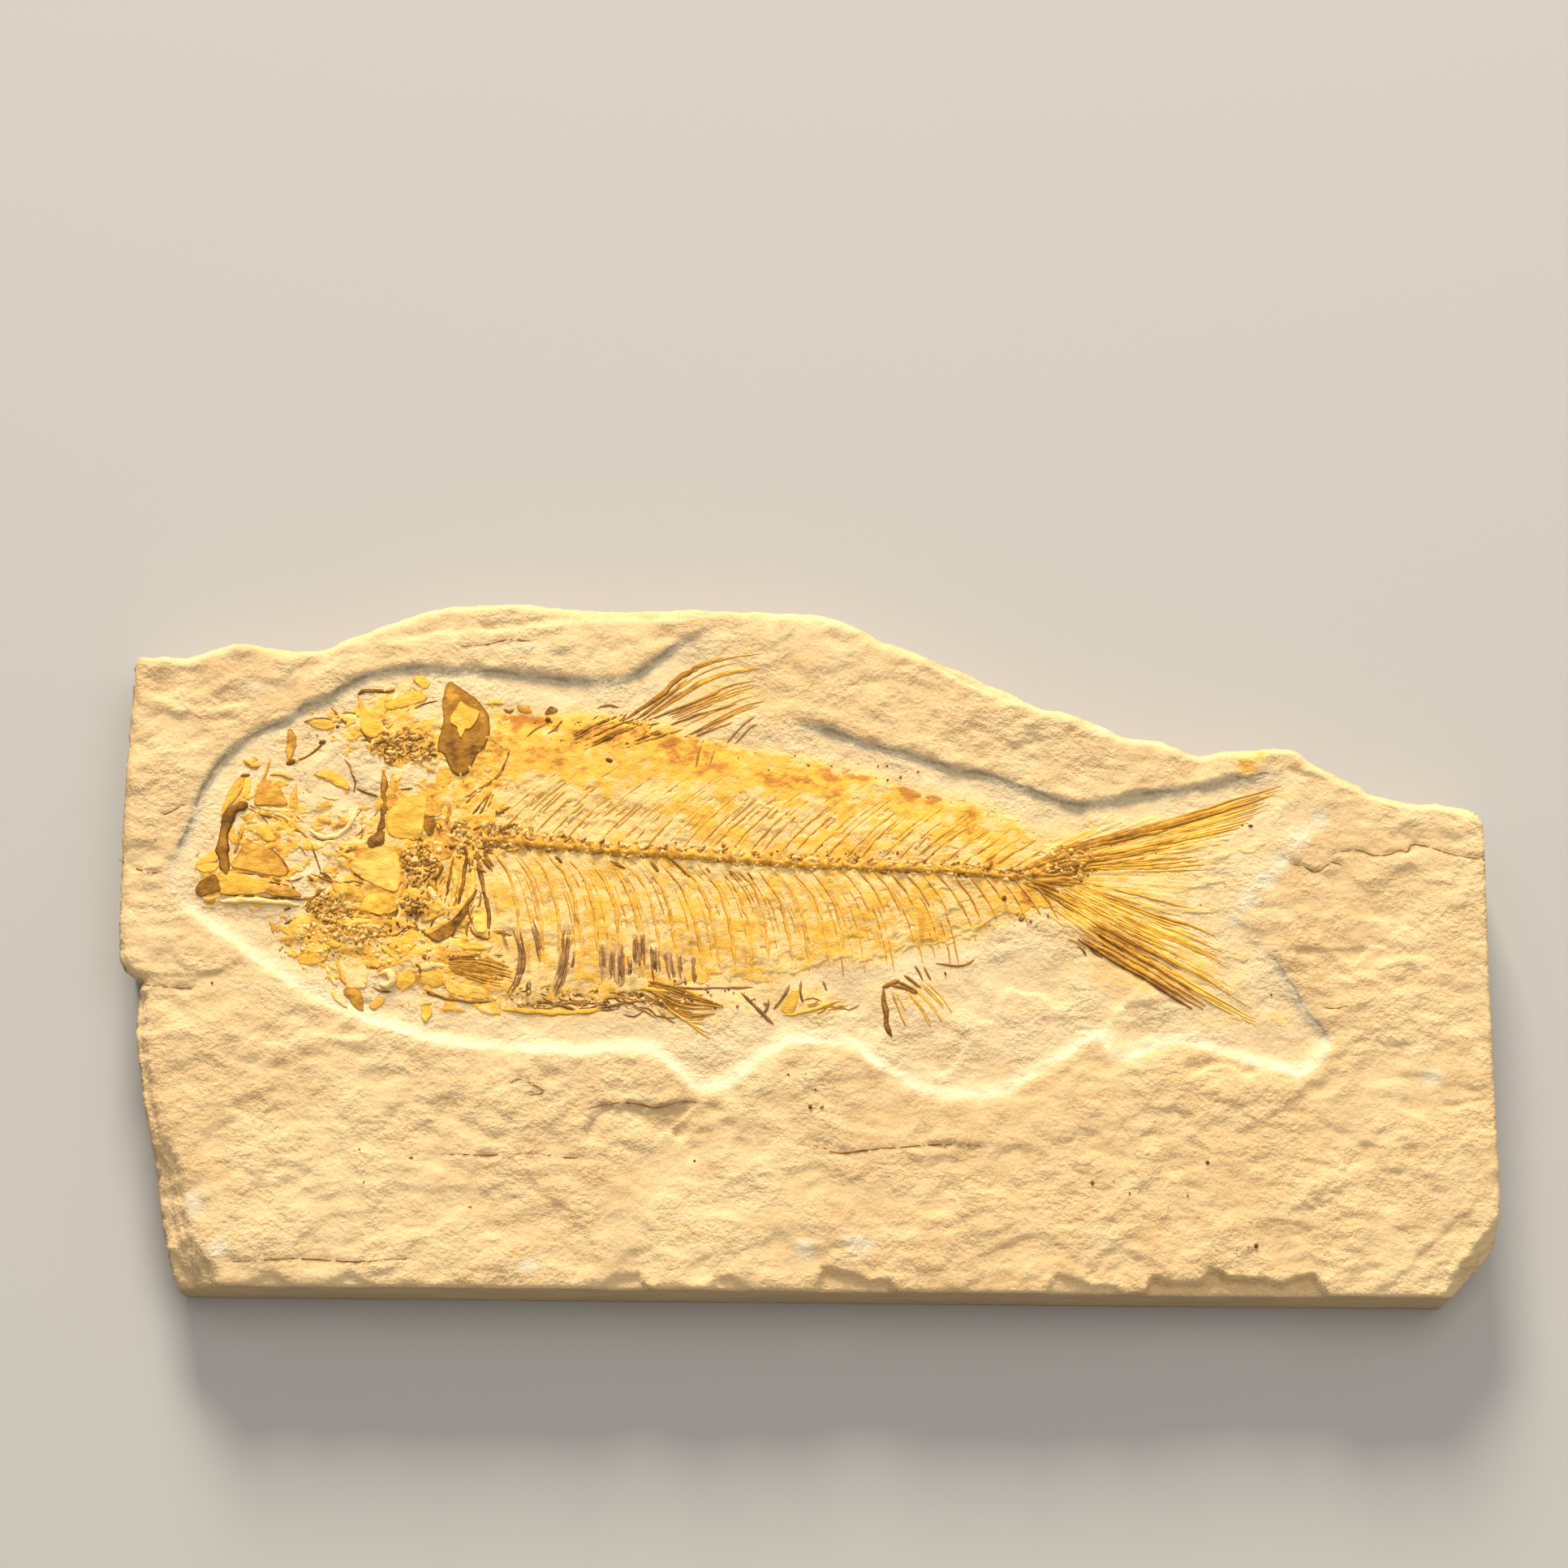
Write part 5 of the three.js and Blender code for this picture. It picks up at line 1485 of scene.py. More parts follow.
ANAL = bones("""
rod 0.55 0.3/0.1 8.1,-4.6 8.3,-6.5 8.6,-8.4 9.1,-9.8
rod 0.3 0.3 9.2,-3.9 10.5,-4.4 11.8,-5.2
rod 0.3 0.3 8.8,-4.4 10.2,-4.7 11.6,-5.4
rod 0.3 0.35 10.3,-3.4 11.2,-4 12,-4.7
rod 0.3 0.3 11.4,-2.3 11.8,-3 12.2,-3.9
rod 0.28 0.35 12.3,-2.4 12.6,-3.1 13,-3.8
rod 0.4 0.3 8.1,-4.7 8.9,-4.2 9.8,-3.9
rod 0.22 0.4 13.5,-2 16,-2.4 17.5,-1.6
""")
heap("anal_rays", "dark", ANAL, "anal_fin")
ANAL_FAN = lines("""
9,-5 10,-7.5 10.8,-9.6; 11,-4.8 13,-7 14,-8.6; 12.5,-3.6 14.4,-5.4 15.4,-7
""")
heap("anal_fine_rays", "yellow", fan(ANAL_FAN, 10, 0.2, (0.4, 0.8), 224, 0.5), "anal_fin")

# %% [markdown]
# ## Belly plates and belly bones
#
# Under the ribs stand short purple-brown bars, the hard scales that ran along the belly's keel. They
# are crushed, so each is a bundle of thin rods. Between them and behind them lie small splints and
# the bones that carried the pelvic fin.

# %% Belly plates
def bundle(line, width, shade, seed, count=5):
    """A crushed bar: a few thin rods side by side along one line."""
    chance = np.random.default_rng(seed)
    way = line[-1] - line[0]
    across = np.array([-way[1], way[0]]) / np.hypot(*way)
    rods = []
    for offset in (np.arange(count) - (count - 1) / 2) * width / count:
        wide = 1.15 * width / count * (0.7 + 0.6 * chance.random())
        tone = np.clip(shade + 0.2 * chance.standard_normal(), 0, 1)
        start, end = int(6 * chance.random()), 24 - int(8 * chance.random())
        piece = smooth_line(line, 24)[start:end:4] + across * offset
        rods.append(rod(wide, tone, piece, height=0.8, spacing=0.35))
    return rods


# For each bar, the widths in mm and the lines of its pieces.
BARS = [
    [(0.8, "-29.5,1.7 -29,0 -28.6,-1.5 -28.7,-3 -29,-4.3 -29.8,-5.8 -30.4,-6.8"),
     (0.4, "-30.7,1.2 -30.4,-0.2 -30,-1.6")],
    [(0.6, "-28,2.2 -27.2,0.5 -26.8,-1.2 -26.3,-3"), (0.6, "-27.8,-4 -27.9,-5.3 -27.8,-6.5")],
    [(0.9, "-24.2,1 -24.3,-1 -24.5,-3 -25.2,-5 -25.8,-6.3"), (0.35, "-23.2,0 -23.3,-2 -23.8,-4")],
    [(0.7, "-20.6,0 -20.4,-2.5 -20.2,-5"), (0.6, "-19.4,-0.8 -19.4,-2.6 -19.2,-4.6")],
    [(0.7, "-18.5,-0.5 -18.5,-2.5 -18.4,-4.9"), (0.4, "-17.7,-1.5 -17.6,-3 -17.6,-4.6")],
    [(1.2, "-16.8,0.7 -16.7,-1.5 -16.5,-4.3"), (0.9, "-15.2,-0.3 -15,-2.2 -14.8,-4.5"),
     (0.8, "-13.9,-0.8 -13.6,-2.6 -13.2,-4.4"), (0.6, "-12.8,-1.4 -12.6,-2.8 -12.3,-4.2")],
]
for k, bars in enumerate(BARS):
    rods = []
    for j, (width, line) in enumerate(bars):
        rods += bundle(rows(line), width, 0.35, 10 * k + j)
    heap(f"belly_bar_{k + 1}", "purple", rods, f"belly_plate_{k + 1}")
BELLY_DARK = bones("""
rod 0.3 0.2 -25.6,-6.6 -23.1,-7.2
rod 0.3 0.2 -21.2,-7.1 -19.5,-6.9 -18,-6.5
rod 0.25 0.2 -23.6,-6.5 -21.8,-6.7
rod 0.25 0.3 -15,-4.9 -9,-4.9 -5,-4.7
rod 0.35 0.2 -6.3,-5.4 -4.5,-7 -2.9,-8.6
rod 0.3 0.2 -1.3,-4.5 -2.1,-5.8 -2.9,-7
rod 0.3 0.3 -0.2,-4 -0.2,-5.2 0,-6.3
rod 0.25 0.3 2,-4 2.5,-5
rod 0.3 0.2 -3.4,-6 -3.6,-7 -4.2,-7.9
rod 0.3 0.3 -12,-3.8 -11.8,-4.6
rod 0.5 0.3 -11.2,-1.5 -11,-3.2 -11,-4.3
plate 0.1 1 -20.9,-0.3 -18.8,0 -17.8,-1 -18,-4.4 -20.7,-4.8
plate 0.1 1 -17.3,0.9 -15.8,1 -15.6,-2 -15.9,-4.3 -17.1,-4.2
plate 0.1 1 -15.2,-0.6 -13,-0.8 -11.6,-1.8 -11.8,-4.2 -14.7,-4.5
plate 0.1 0.9 -25,0.6 -23.6,0.8 -23.8,-3 -25,-6 -26,-6.2 -25,-3
""")
heap("belly_splints", "purple", BELLY_DARK)
BELLY_YELLOW = bones("""
plate 0.12 0.7 -2.2,-7 -1,-7.3 -0.4,-5.4 -1.2,-5.2
rod 0.3 0.6 -2,-7.6 0.4,-7.2 3.8,-6
rod 0.6 0.5 -30.6,-7.3 -27.5,-7.4 -24,-7.6 -20,-7.3
rod 0.5 0.6 -17,-5 -14,-5.2 -10,-5.6
""")
heap("belly_yellow_bones", "yellow", BELLY_YELLOW)

# %% [markdown]
# ## The head
#
# The head was crushed flat and fell apart, and its bones are what the eye goes to. Each bone that can
# be told apart is a piece of its own, made of one plate or rod and perhaps a second that belongs to
# it. A list says for each its tone, and the measures and outline of its plates and rods.

# %% Head bones
HEAD = """
snout_bone yellow
plate 0.35 0.42 -60,12.8 -59.9,13.8 -59.4,15.5 -58.5,16.8 -57.8,17 -57.9,16.2 -58.3,15.2 -59.2,14
plate 0.2 0.8 -57.9,16.8 -57.2,16.9 -57.2,15.8 -57.5,15 -58.1,14.6 -58,15.6;
upper_jaw_bone dark
rod 1.2 0.12/0.5 height=0.35 around=12 blunt=0.1 -57.4,14.3 -58.3,13.9 -59.1,12.9 -59.5,11.6 -59.6,10
-59.5,8.3 -59,6.5;
upper_jaw_tip amber
plate 0.35 0.9 -62.4,7.5 -61.6,8.4 -60.4,9.2 -60.1,8.2 -60.8,7.8 -61.6,7.6
plate 0.3 1.2 -62.3,7.4 -61.2,7.8 -60.1,7.6 -60.3,7 -61.6,6.8;
lower_jaw_tip dark
plate 0.4 0.3 -62.3,5 -61.7,5.8 -60.5,6.5 -60,6.1 -59.7,4.9 -60.8,4.5 -61.8,4.2;
lower_jaw_plate amber
plate 0.4 0.85/0.6 -58.7,7.4 -58.1,8.7 -57.5,9.7 -56.5,10 -55,9.4 -54.3,8.9 -53.3,7.7 -52.9,6.6 -54.5,6.5
-57,7;
lower_jaw_bone yellow
plate 0.35 0.6 -59.8,6.9 -57.5,6.5 -55.3,5.8 -54.4,5.2 -55.5,4.6 -57,4.5 -59.8,4.6;
nose_plate amber
plate 0.35 0.65 -56.6,14.1 -55,14 -53.3,14.1 -53.7,15.2 -54.2,16 -55.1,16.4 -55.8,17 -56.3,16.2
rod 0.6 0.2 -55.6,15.8 -56.1,14.9 -56.5,14.1;
eye_crescent pale
rod 0.55 1.1 height=0.3 -50.9,11.4 -50,10.8 -49,10.6 -48,10.8 -47.1,11.6 -46.4,12.6 -46,14.2;
eye_top_plate yellow
plate 0.3 0.5 -50.6,17.4 -49.6,17.9 -48.6,17.6 -47.6,17 -46.9,16.1 -47.2,15.8 -48.4,16.3 -49.6,16.9;
brow_bone dark
plate 0.3 0.75 -53.5,22.4 -52.9,21.8 -52.7,20.8 -53,19.4 -53.3,18.9 -53.7,19.8 -53.7,21
rod 0.5 0.1 -53.7,18.5 -53.2,18.7 -52.6,18.8;
skull_roof amber
plate 0.25 1 -51.6,23.2 -50.4,23.4 -49.2,23.2 -48.7,22.6 -49.6,22.3 -50.8,22.5
rod 0.35 0.2 -52,23.1 -50.6,23.5 -49.1,23.4;
crest_plate yellow
plate 0.3 0.6 -43.7,25 -42.5,25.8 -41,26.6 -40,26.5 -39.3,25.8 -40,25.4 -41.5,24.9 -43.2,24.5;
nape_plate yellow
plate 0.3 0.5 -46.5,25.9 -45.9,25.1 -45.2,23.9 -44.2,22.6 -44.1,21.6 -45,21.3 -46,22.3 -46.1,24;
gill_cover dark
plate 0.3 0.3/0.68 count=90 -37.2,27.6 -35.7,26.9 -34.1,25.7 -32.9,24.1 -32.6,22.3 -33.1,20.4
-33.9,19.6 -34.4,18.2 -35.2,17.3 -36.2,17.5 -36.9,18.6 -37.3,19.6 -37.9,19.9 -38,20.8 -37.5,23.5
-37.7,25.4;
gill_cover_flake yellow
plate 0.62 0.65 -36.8,23.7 -36.3,24.5 -35.7,25.4 -35.1,24.9 -34.4,24.6 -33.7,24.3 -34,23.4
-34.6,22.5 -35.2,22.3 -35.6,21.4 -35.9,22 -36.1,22.6 -36.7,23;
cheek_bar dark
rod 0.7 0.5/0.15 -43.6,18.1 -43.4,16.8 -43.3,15 -43.2,13.5 -43.5,11.8 -43.9,10.1
plate 0.3 0.25 -44.9,10.2 -44.2,9.4 -43.2,10 -43.1,11.2 -43.8,11.3;
gill_plate_upper yellow
plate 0.35 0.7 -43,13.2 -42,14.2 -41,14.9 -40,15.3 -38.9,15.1 -38.9,13.8 -39.1,12.4 -39.2,11.2 -39.8,10.4
-41,10.6 -42.6,10.9;
gill_plate_broad yellow
plate 0.35 0.75/1 -46.6,7.6 -45,9 -42.8,9.8 -41.6,8.6 -41.3,6.4 -41.7,4.9 -43,5.2 -44.5,5.9 -45.6,6.6;
gill_lobe yellow
plate 0.4 0.5 -45.4,3 -45,4.3 -44,4.9 -42.5,4.6 -41.7,3.8 -41.6,3 -42.9,2.4 -44.5,2.7;
throat_bone pale
plate 0.2 0.9 -47.3,-2 -45.5,-1.8 -44.4,-3.2 -44.4,-5 -45.6,-5.1 -46.5,-4.9;
throat_chip dark
plate 0.3 0.75 -46.7,-5.5 -46,-5.1 -45,-5.4 -44.7,-6.5 -44.6,-7.5 -45.3,-7.3 -46.1,-6.3;
shoulder_bone dark
plate 0.35 0.35 crown=0.1 count=60 -38.3,0.3 -37.2,1 -36.2,1.8 -35,2.9 -34,3.9 -33.4,5.2 -33.8,4.9
-34.4,2.7 -35.2,1.5 -35.8,0.4 -36.8,-0.3 -37.8,-0.3
rod 0.5 0.15 -40.8,1.4 -39.5,1 -38.3,0.3 -37.2,-0.1;
shoulder_ray_front dark
rod 0.42 0.2/0.3 -34.9,10.3 -34.7,8.5 -34.8,6.5 -35.1,4.5 -35.5,3.3
rod 0.35 0.3 -35.9,8.9 -36.2,7 -36.5,5 -36.7,3.6;
shoulder_ray_rear dark
rod 0.45 0.25 -34.1,9.8 -33.4,8.2 -32.9,5.8 -32.4,4 -32.1,2 -31.9,0
rod 0.35 0.25 -33,9.3 -32.4,8.4 -31.7,7.6
"""
for entry in HEAD.split(";"):
    node, tone, table = entry.split(maxsplit=2)
    heap(node + "_fossil", tone, bones(table), node)

# %% [markdown]
# ## Loose bones around the head
#
# Between the large bones lie thin splints, slivers and flakes. They are too many to be pieces of their
# own, so those of one tone are gathered into one piece.

# %% Loose bones
LOOSE = {
    "dark": """
rod 0.35 0.1 -58.2,17.1 -57.3,17.3
rod 0.25 0.3 -58.5,6.9 -55.5,6.4 -53.5,6 -52.2,6 -51.3,6.4
rod 0.3 0.2 -55,5.8 -53,5.4 -52,5.2
rod 0.22 0.2 -60,4.45 -57,4.35 -54,4.1 -51,4
rod 0.5 0.3 -55,9.4 -54,8.4 -53.2,7.4 -52.9,6.6
rod 0.35 0.2 -53.1,2.8 -52.3,3.1
rod 0.35 0.2 -53,1.5 -52.2,1.8 -51.9,2.2
rod 0.28 0.3 -57.3,13.7 -56,13 -54.8,12.7 -53.4,12.2
rod 0.25 0.45 -53.4,12.4 -52.8,11.7 -51.5,11.1
rod 0.2 0.4 -50.6,10 -50,8.4 -49.5,7
rod 0.16 0.3 -50.9,11 -50,10.5 -49,10.35 -48,10.55
rod 0.2 0.3 -47.6,19 -47,18.3 -46.8,17.6 -46.4,16.6 -46.5,15.5
rod 0.25 0.2 -52.7,18.9 -51.5,19.3 -50.2,20.5 -49.8,21
rod 0.45 0.1 -50.3,20.9 -49.6,21.1
rod 0.3 0.3 -49.3,24.7 -48.2,23.6 -47.3,22.8
rod 0.35 0.15 -48.7,22.6 -48.3,22.7
rod 0.3 0.3 -46.8,22.5 -45.5,22.6
rod 0.45 0.3 -46.5,26.2 -45.6,26.6 -44,26.5 -42.6,26.7
rod 0.2 0.2 -42.3,23.7 -40.8,24.5 -39.4,25.2 -38.2,25.5
rod 0.35 0.25 -46.3,22.4 -45.4,21.5 -44.7,20.6
rod 0.25 0.2 -46.2,16 -44.9,15.3 -43.7,15
rod 0.25 0.2 -42.4,15.6 -41.4,15.8 -40.4,16
rod 0.2 0.4 -40.8,27.8 -40.2,27.3
rod 0.2 0.4 -40.8,26.9 -39.9,26.2 -39.3,25.8
plate 0.3 0.35 -39.3,12.8 -38.4,12.9 -37.9,12.2 -38.2,11.1 -38.8,11
rod 0.4 0.1 -37.7,12 -37.2,11.6
rod 0.4 0.2 -47.2,8.9 -46.4,9.2 -45.8,9.35
rod 0.22 0.3 -48.1,9.1 -46.8,9.5 -45.2,9.7
rod 0.5 0.25 -49.6,6.9 -48.7,6.3 -48.2,6
rod 0.3 0.3 -50.5,6.7 -48,5.9 -46,5.9 -44.8,5.6
rod 0.3 0.3 -46.4,6.9 -45.6,6.5 -44.6,5.8
rod 0.45 0.3 -50.8,6.6 -50.3,5.9
rod 0.25 0.3 -42.9,2 -42.9,0.9
rod 0.3 0.2 -41.4,3 -42.4,2.1 -42.9,1 -43.2,0.3
rod 0.4 0.2 -45,1.2 -44,0.6 -43.2,0
rod 0.3 0.2 -44.5,2.7 -43.6,2.4 -43,2.3
rod 0.25 0.35 -43.5,0.1 -41.5,0.4 -40.2,1
rod 0.3 0.3 -44.4,-2.9 -43.3,-3 -42.4,-2.7
rod 0.25 0.35 -43.8,-5 -42.8,-5.5 -41.8,-5.5
rod 0.55 0.1 -38.8,-1.9 -38.3,-2.2
rod 0.3 0.3 -39.5,-2.6 -38.9,-3.2 -39,-3.9
rod 0.35 0.35 -38.6,-5.2 -38,-5.7 -36,-6.2 -34,-6.5 -30.8,-6.5
rod 0.22 0.3 -37,-4 -36.5,-4.8 -35.9,-5.4
rod 0.3 0.4 -33.9,1.5 -33.9,0.9 -33.3,0.3 -32.3,0 -31.9,0.1
rod 0.25 0.45 -33,5 -33.2,3.5 -33.9,1.6
rod 0.32 0.3 -34.7,12.4 -33.6,14 -32.5,15.5
rod 0.3 0.3 -33.5,13 -32.7,14.5 -32.2,15.7
rod 0.25 0.3 -33,13.1 -32.4,14.3 -31.9,15.6
rod 0.32 0.35 -36,14.9 -34.8,15.2 -33.5,16 -32.5,16.6 -31.5,17.4 -31,18.6 -30.6,19.8 -30.2,20.8
rod 0.28 0.4 -34.9,14.4 -34,15.3 -32.8,16.1
rod 0.3 0.35 -34.4,11.5 -33.2,12 -32,12.5
rod 0.35 0.3 -31.8,13.1 -31,13.6 -30,14
rod 0.35 0.2 -25.5,8.7 -24.7,8.1
rod 0.35 0.2 -20.3,8.5 -18.3,7.5
rod 0.35 0.2 -15.6,8.3 -14.9,7.1
rod 0.3 0.3 -13.8,8.7 -11.5,6.5
rod 0.3 0.2 -10,7.7 -9.5,7
rod 0.3 0.2 -7.6,7.3 -7.3,6.8
rod 0.3 0.2 -5.8,7.3 -5,6.2
plate 0.25 0.3 -27,24.2 -26.4,25 -25.7,24.6 -26.2,24.2
rod 0.3 0.3 -21.5,24.9 -20.3,25.2 -19.3,25
rod 0.3 0.3 -31.3,24.7 -30.7,24.4 -30.2,24.6
rod 0.3 0.35 -42.5,20.1 -42,19 -41.8,18.5
rod 0.35 0.2 -43.3,20.1 -42.2,20.1
rod 0.4 0.15 -40.1,20.5 -39.1,20.3
rod 0.35 0.2 -39.5,19.1 -38.8,19.2
rod 0.4 0.2 -37,8 -37.4,6.8 -38.2,6.2
rod 0.3 0.25 -36,8.9 -35.4,8.6 -35,8.8
rod 0.3 0.3 -38.3,6.2 -38.6,5
""",
    "amber": """
plate 0.3 0.7 -61.4,4.1 -60.2,4.1 -60.4,3.5 -61,3.6
plate 0.35 0.6 -55.4,5 -53.8,5.4 -52.3,5.1 -51.4,4.3 -54,4.3
rod 0.4 0.9/0.3 -57.6,12.4 -57.9,11 -58.3,9.6 -58.5,8.9
rod 0.3 0.8 -58.9,11 -58.4,10 -58.2,9.2
rod 0.4 0.8 -55.2,17.4 -54.3,17.4 -53.5,17.2 -52.7,16.8
rod 0.28 0.8 -55.2,19.1 -55.8,17.3 -56.2,16.2
plate 0.25 0.8 -53,15 -52.4,16.3 -52.3,13.6 -53,14
rod 0.8 0.9 height=0.3 -58.1,18.9 -57.2,18.4 -56.3,18.2
rod 0.3 0.7 -54,13.3 -52.9,12.2 -51.6,11.2 -50.9,10.5
plate 0.2 0.7 -42.6,17.3 -42.2,16.5 -41.7,15 -42.9,13.6 -43,15.5
plate 0.35 0.65 -38.9,15.1 -38.1,14.6 -37.2,13.2 -38.2,12.9 -39.2,13.1 -38.9,14
plate 0.3 0.7 -48.3,5.8 -46.8,5.5 -45.2,5 -45,4 -46.5,3.7 -47.8,4.6
rod 0.5 0.75 -41.3,9 -41,7.4 -41.3,5.6
rod 0.4 0.5 -36.6,14.6 -36.6,13.4 -36.9,12
rod 0.5 0.7 -36.4,14.8 -35.9,14.3 -35.5,14
plate 0.25 0.6 -37.9,10.8 -36.3,11 -36,9 -37,8.3 -38,9
rod 0.4 0.6 -37.2,4.8 -38.3,6 -38.9,7
plate 0.2 0.8 -44,-7 -43.3,-7.4 -42.4,-6.3 -43.2,-6.2
plate 0.2 0.6 -47.1,-1.3 -46.3,-1 -45.3,-2.1 -46.2,-1.9
rod 0.5 0.6 -40.3,6.4 -41,5.2 -41.4,4.2
rod 0.4 0.8 -47.6,-2.2 -47,-3.8 -46.3,-5
rod 0.3 0.8 -54.5,2 -54.2,1.2 -54.1,0.5
plate 0.2 0.5 -29.9,25 -28.9,25.1 -28.3,24.4 -29.3,24.3
rod 0.4 0.6 -39.6,4.4 -38.6,4.2 -38.2,3.9
rod 0.5 0.5 -32.5,21.5 -31.7,20.8 -31.3,20
rod 0.5 0.7 -39,1.8 -37.6,2.4 -36.4,2.9
""",
    "yellow": """
plate 0.35 0.6 -56.3,11.1 -55.8,11.9 -55,11.8 -54.6,11 -54.3,10.3 -55.1,10.1
plate 0.2 0.6 -40.7,28.2 -39.8,28.3 -39.1,27.5 -39.5,26.9 -40.4,27.3
rod 0.6 0.7 -44.6,21.2 -43.8,21.4
rod 0.6 0.8 -39.2,21.4 -38.3,21.2
rod 0.7 0.7 -38.4,20.5 -37.9,19.8
rod 0.6 0.8 -38,22.7 -37,23.1
plate 0.25 0.5 -38,17.5 -37.1,17.9 -36.6,17.3 -36.8,16.3 -37.7,16.3
plate 0.3 0.6 -38.7,-7.2 -37.9,-7 -37.6,-7.8 -38.2,-8.7 -38.6,-8.2
rod 0.5 0.6 -48,9.3 -46.5,8.5 -45,8.3
rod 0.5 0.8 -45.8,8 -44.6,6.6 -43.4,5.9
plate 0.2 0.7 -51,-0.9 -49,-0.3 -48.4,-1.6 -49.5,-2.7 -51.4,-2.5
rod 0.7 0.8 -47,0.9 -45.4,1.6 -44,1.9
rod 0.8 0.6 -48.6,-0.3 -47.2,-0.7
rod 0.6 0.7 -43.2,-0.5 -42.2,-1.5 -41.2,-2.4
plate 0.2 0.6 -38.5,-3.5 -36.8,-3.6 -36.4,-4.6 -37.6,-5 -38.8,-4.6
plate 0.2 0.75 -36.5,-4.2 -34.5,-4.6 -32,-5.4 -32.5,-6.2 -35,-5.9 -36.2,-5.3
plate 0.2 0.7 -41.2,-4 -40,-3.4 -39.4,-4.4 -40.4,-5.2 -41.3,-5
rod 0.5 0.6 -31.5,25.2 -32.3,25.4 -33,25
rod 0.6 0.8 -36,8 -35.6,6 -36,4.2
rod 0.6 0.8 -34,7.5 -33.9,5.6 -34.4,4
rod 0.6 0.9 -38,4.8 -37.2,3.8 -37,2.8
rod 0.6 0.6 -36,-0.4 -34,-0.9 -31.8,-0.8
plate 0.3 0.9 -33.6,3 -32.7,3.2 -32.3,1 -33,0.6 -33.7,1.4
plate 0.2 0.6 -42.2,0 -40.6,0.3 -39.4,-0.2 -40.2,-1.4 -41.6,-1
""",
    "pale": """
rod 0.65 0.95 height=0.4 -60,3.9 -56,3.8 -51.5,3.4
rod 0.9 0.9 height=0.4 -43,-4 -42.2,-3.6 -41.6,-4.4 -42.3,-5 -43,-4.6
rod 0.5 0.9 -47.9,5.2 -47,4 -46,3.4
rod 0.3 0.8 -49.7,15 -48.9,14.8 -48,14.7
rod 0.6 0.9 -38.2,12.6 -37.3,12.9 -36.8,12.4
rod 0.5 0.9 -55.4,13.4 -53.5,12.9 -52.4,12.2
rod 0.6 0.8 -48.6,-3 -48,-4 -47.4,-5
rod 0.5 0.8 -48,-5.4 -47.2,-6.6 -46.2,-7.3
rod 0.5 0.9 -56.5,13.9 -54.8,13.5 -53,13.4
plate 0.2 0.9 -43,25.4 -42.4,27.2 -41.3,27.8 -41,26.8 -42,26
rod 0.6 0.9 -38.6,5.6 -37.8,4.8 -37.6,4
rod 0.9 0.9 -39,-3.2 -37.6,-2.8 -36.4,-3
""",
}
for tone, table in LOOSE.items():
    heap(f"loose_{tone}_bones", tone, bones(table))

# %% [markdown]
# ## Crumbs and splinters
#
# Where bones were crushed there is only rubble: brown and yellow crumbs a third of a millimetre wide,
# each a small lump turned and stretched at random, and short splinters in one direction.

# %% Crumbs and splinters
LUMP_SIDES = 6
LUMP_RADII = np.array([1, 0.85, 0.5])
LUMP_HEIGHTS = np.array([-0.4, 0.55, 0.9])
LUMP_POINTS = LUMP_SIDES * len(LUMP_RADII) + 2


def crumbs(patches, seed):
    """Lumps strewn evenly over ellipses (x, y, half width, half height, count, size, shade), all
    worked out together: rings of six points, a point on top and one below."""
    chance = np.random.default_rng(seed)
    spots = np.repeat(patches, patches[:, 4].astype(int), axis=0)
    size, shade = spots[:, 5], spots[:, 6]
    n = len(spots)
    radius, angle = np.sqrt(chance.random(n)), 2 * np.pi * chance.random(n)
    x = spots[:, 0] + spots[:, 2] * radius * np.cos(angle)
    y = spots[:, 1] + spots[:, 3] * radius * np.sin(angle)
    size = size * (0.4 + 1.3 * chance.random(n) ** 2)
    stretch, turn = 0.5 + 0.5 * chance.random(n), np.pi * chance.random(n)
    around = 2 * np.pi * np.arange(LUMP_SIDES) / LUMP_SIDES
    uneven = 1 + 0.35 * (chance.random((n, len(LUMP_RADII), LUMP_SIDES)) - 0.5)
    a = size[:, None, None] / 2 * LUMP_RADII[:, None] * uneven * np.cos(around)
    b = (size * stretch)[:, None, None] / 2 * LUMP_RADII[:, None] * uneven * np.sin(around)
    cos, sin = np.cos(turn)[:, None, None], np.sin(turn)[:, None, None]
    base = ground(x, y)
    tall = np.minimum(size * (0.2 + 0.3 * chance.random(n)), TOP + 0.1 - base)
    ring_z = base[:, None, None] + tall[:, None, None] * LUMP_HEIGHTS[:, None] + 0 * a
    ring_x, ring_y = x[:, None, None] + a * cos - b * sin, y[:, None, None] + a * sin + b * cos
    rings = np.stack([ring_x, ring_y, ring_z], -1).reshape(n, -1, 3)
    poles = np.stack([np.stack([x, y, base + tall], -1), np.stack([x, y, base - 0.3], -1)], 1)
    points = np.concatenate([rings, poles], 1).reshape(-1, 3)
    quads, caps = tube_faces(len(LUMP_RADII), LUMP_SIDES, LUMP_POINTS - 1, LUMP_POINTS - 2)
    start = LUMP_POINTS * np.arange(n)[:, None, None]
    tone = np.repeat(np.clip(shade + 0.25 * chance.standard_normal(n), 0, 1.2), LUMP_POINTS)
    edge = np.tile(np.append(np.repeat(LUMP_RADII, LUMP_SIDES), [0, 1]), n)
    return points, (quads + start).reshape(-1, 4), (caps + start).reshape(-1, 3), tone, edge


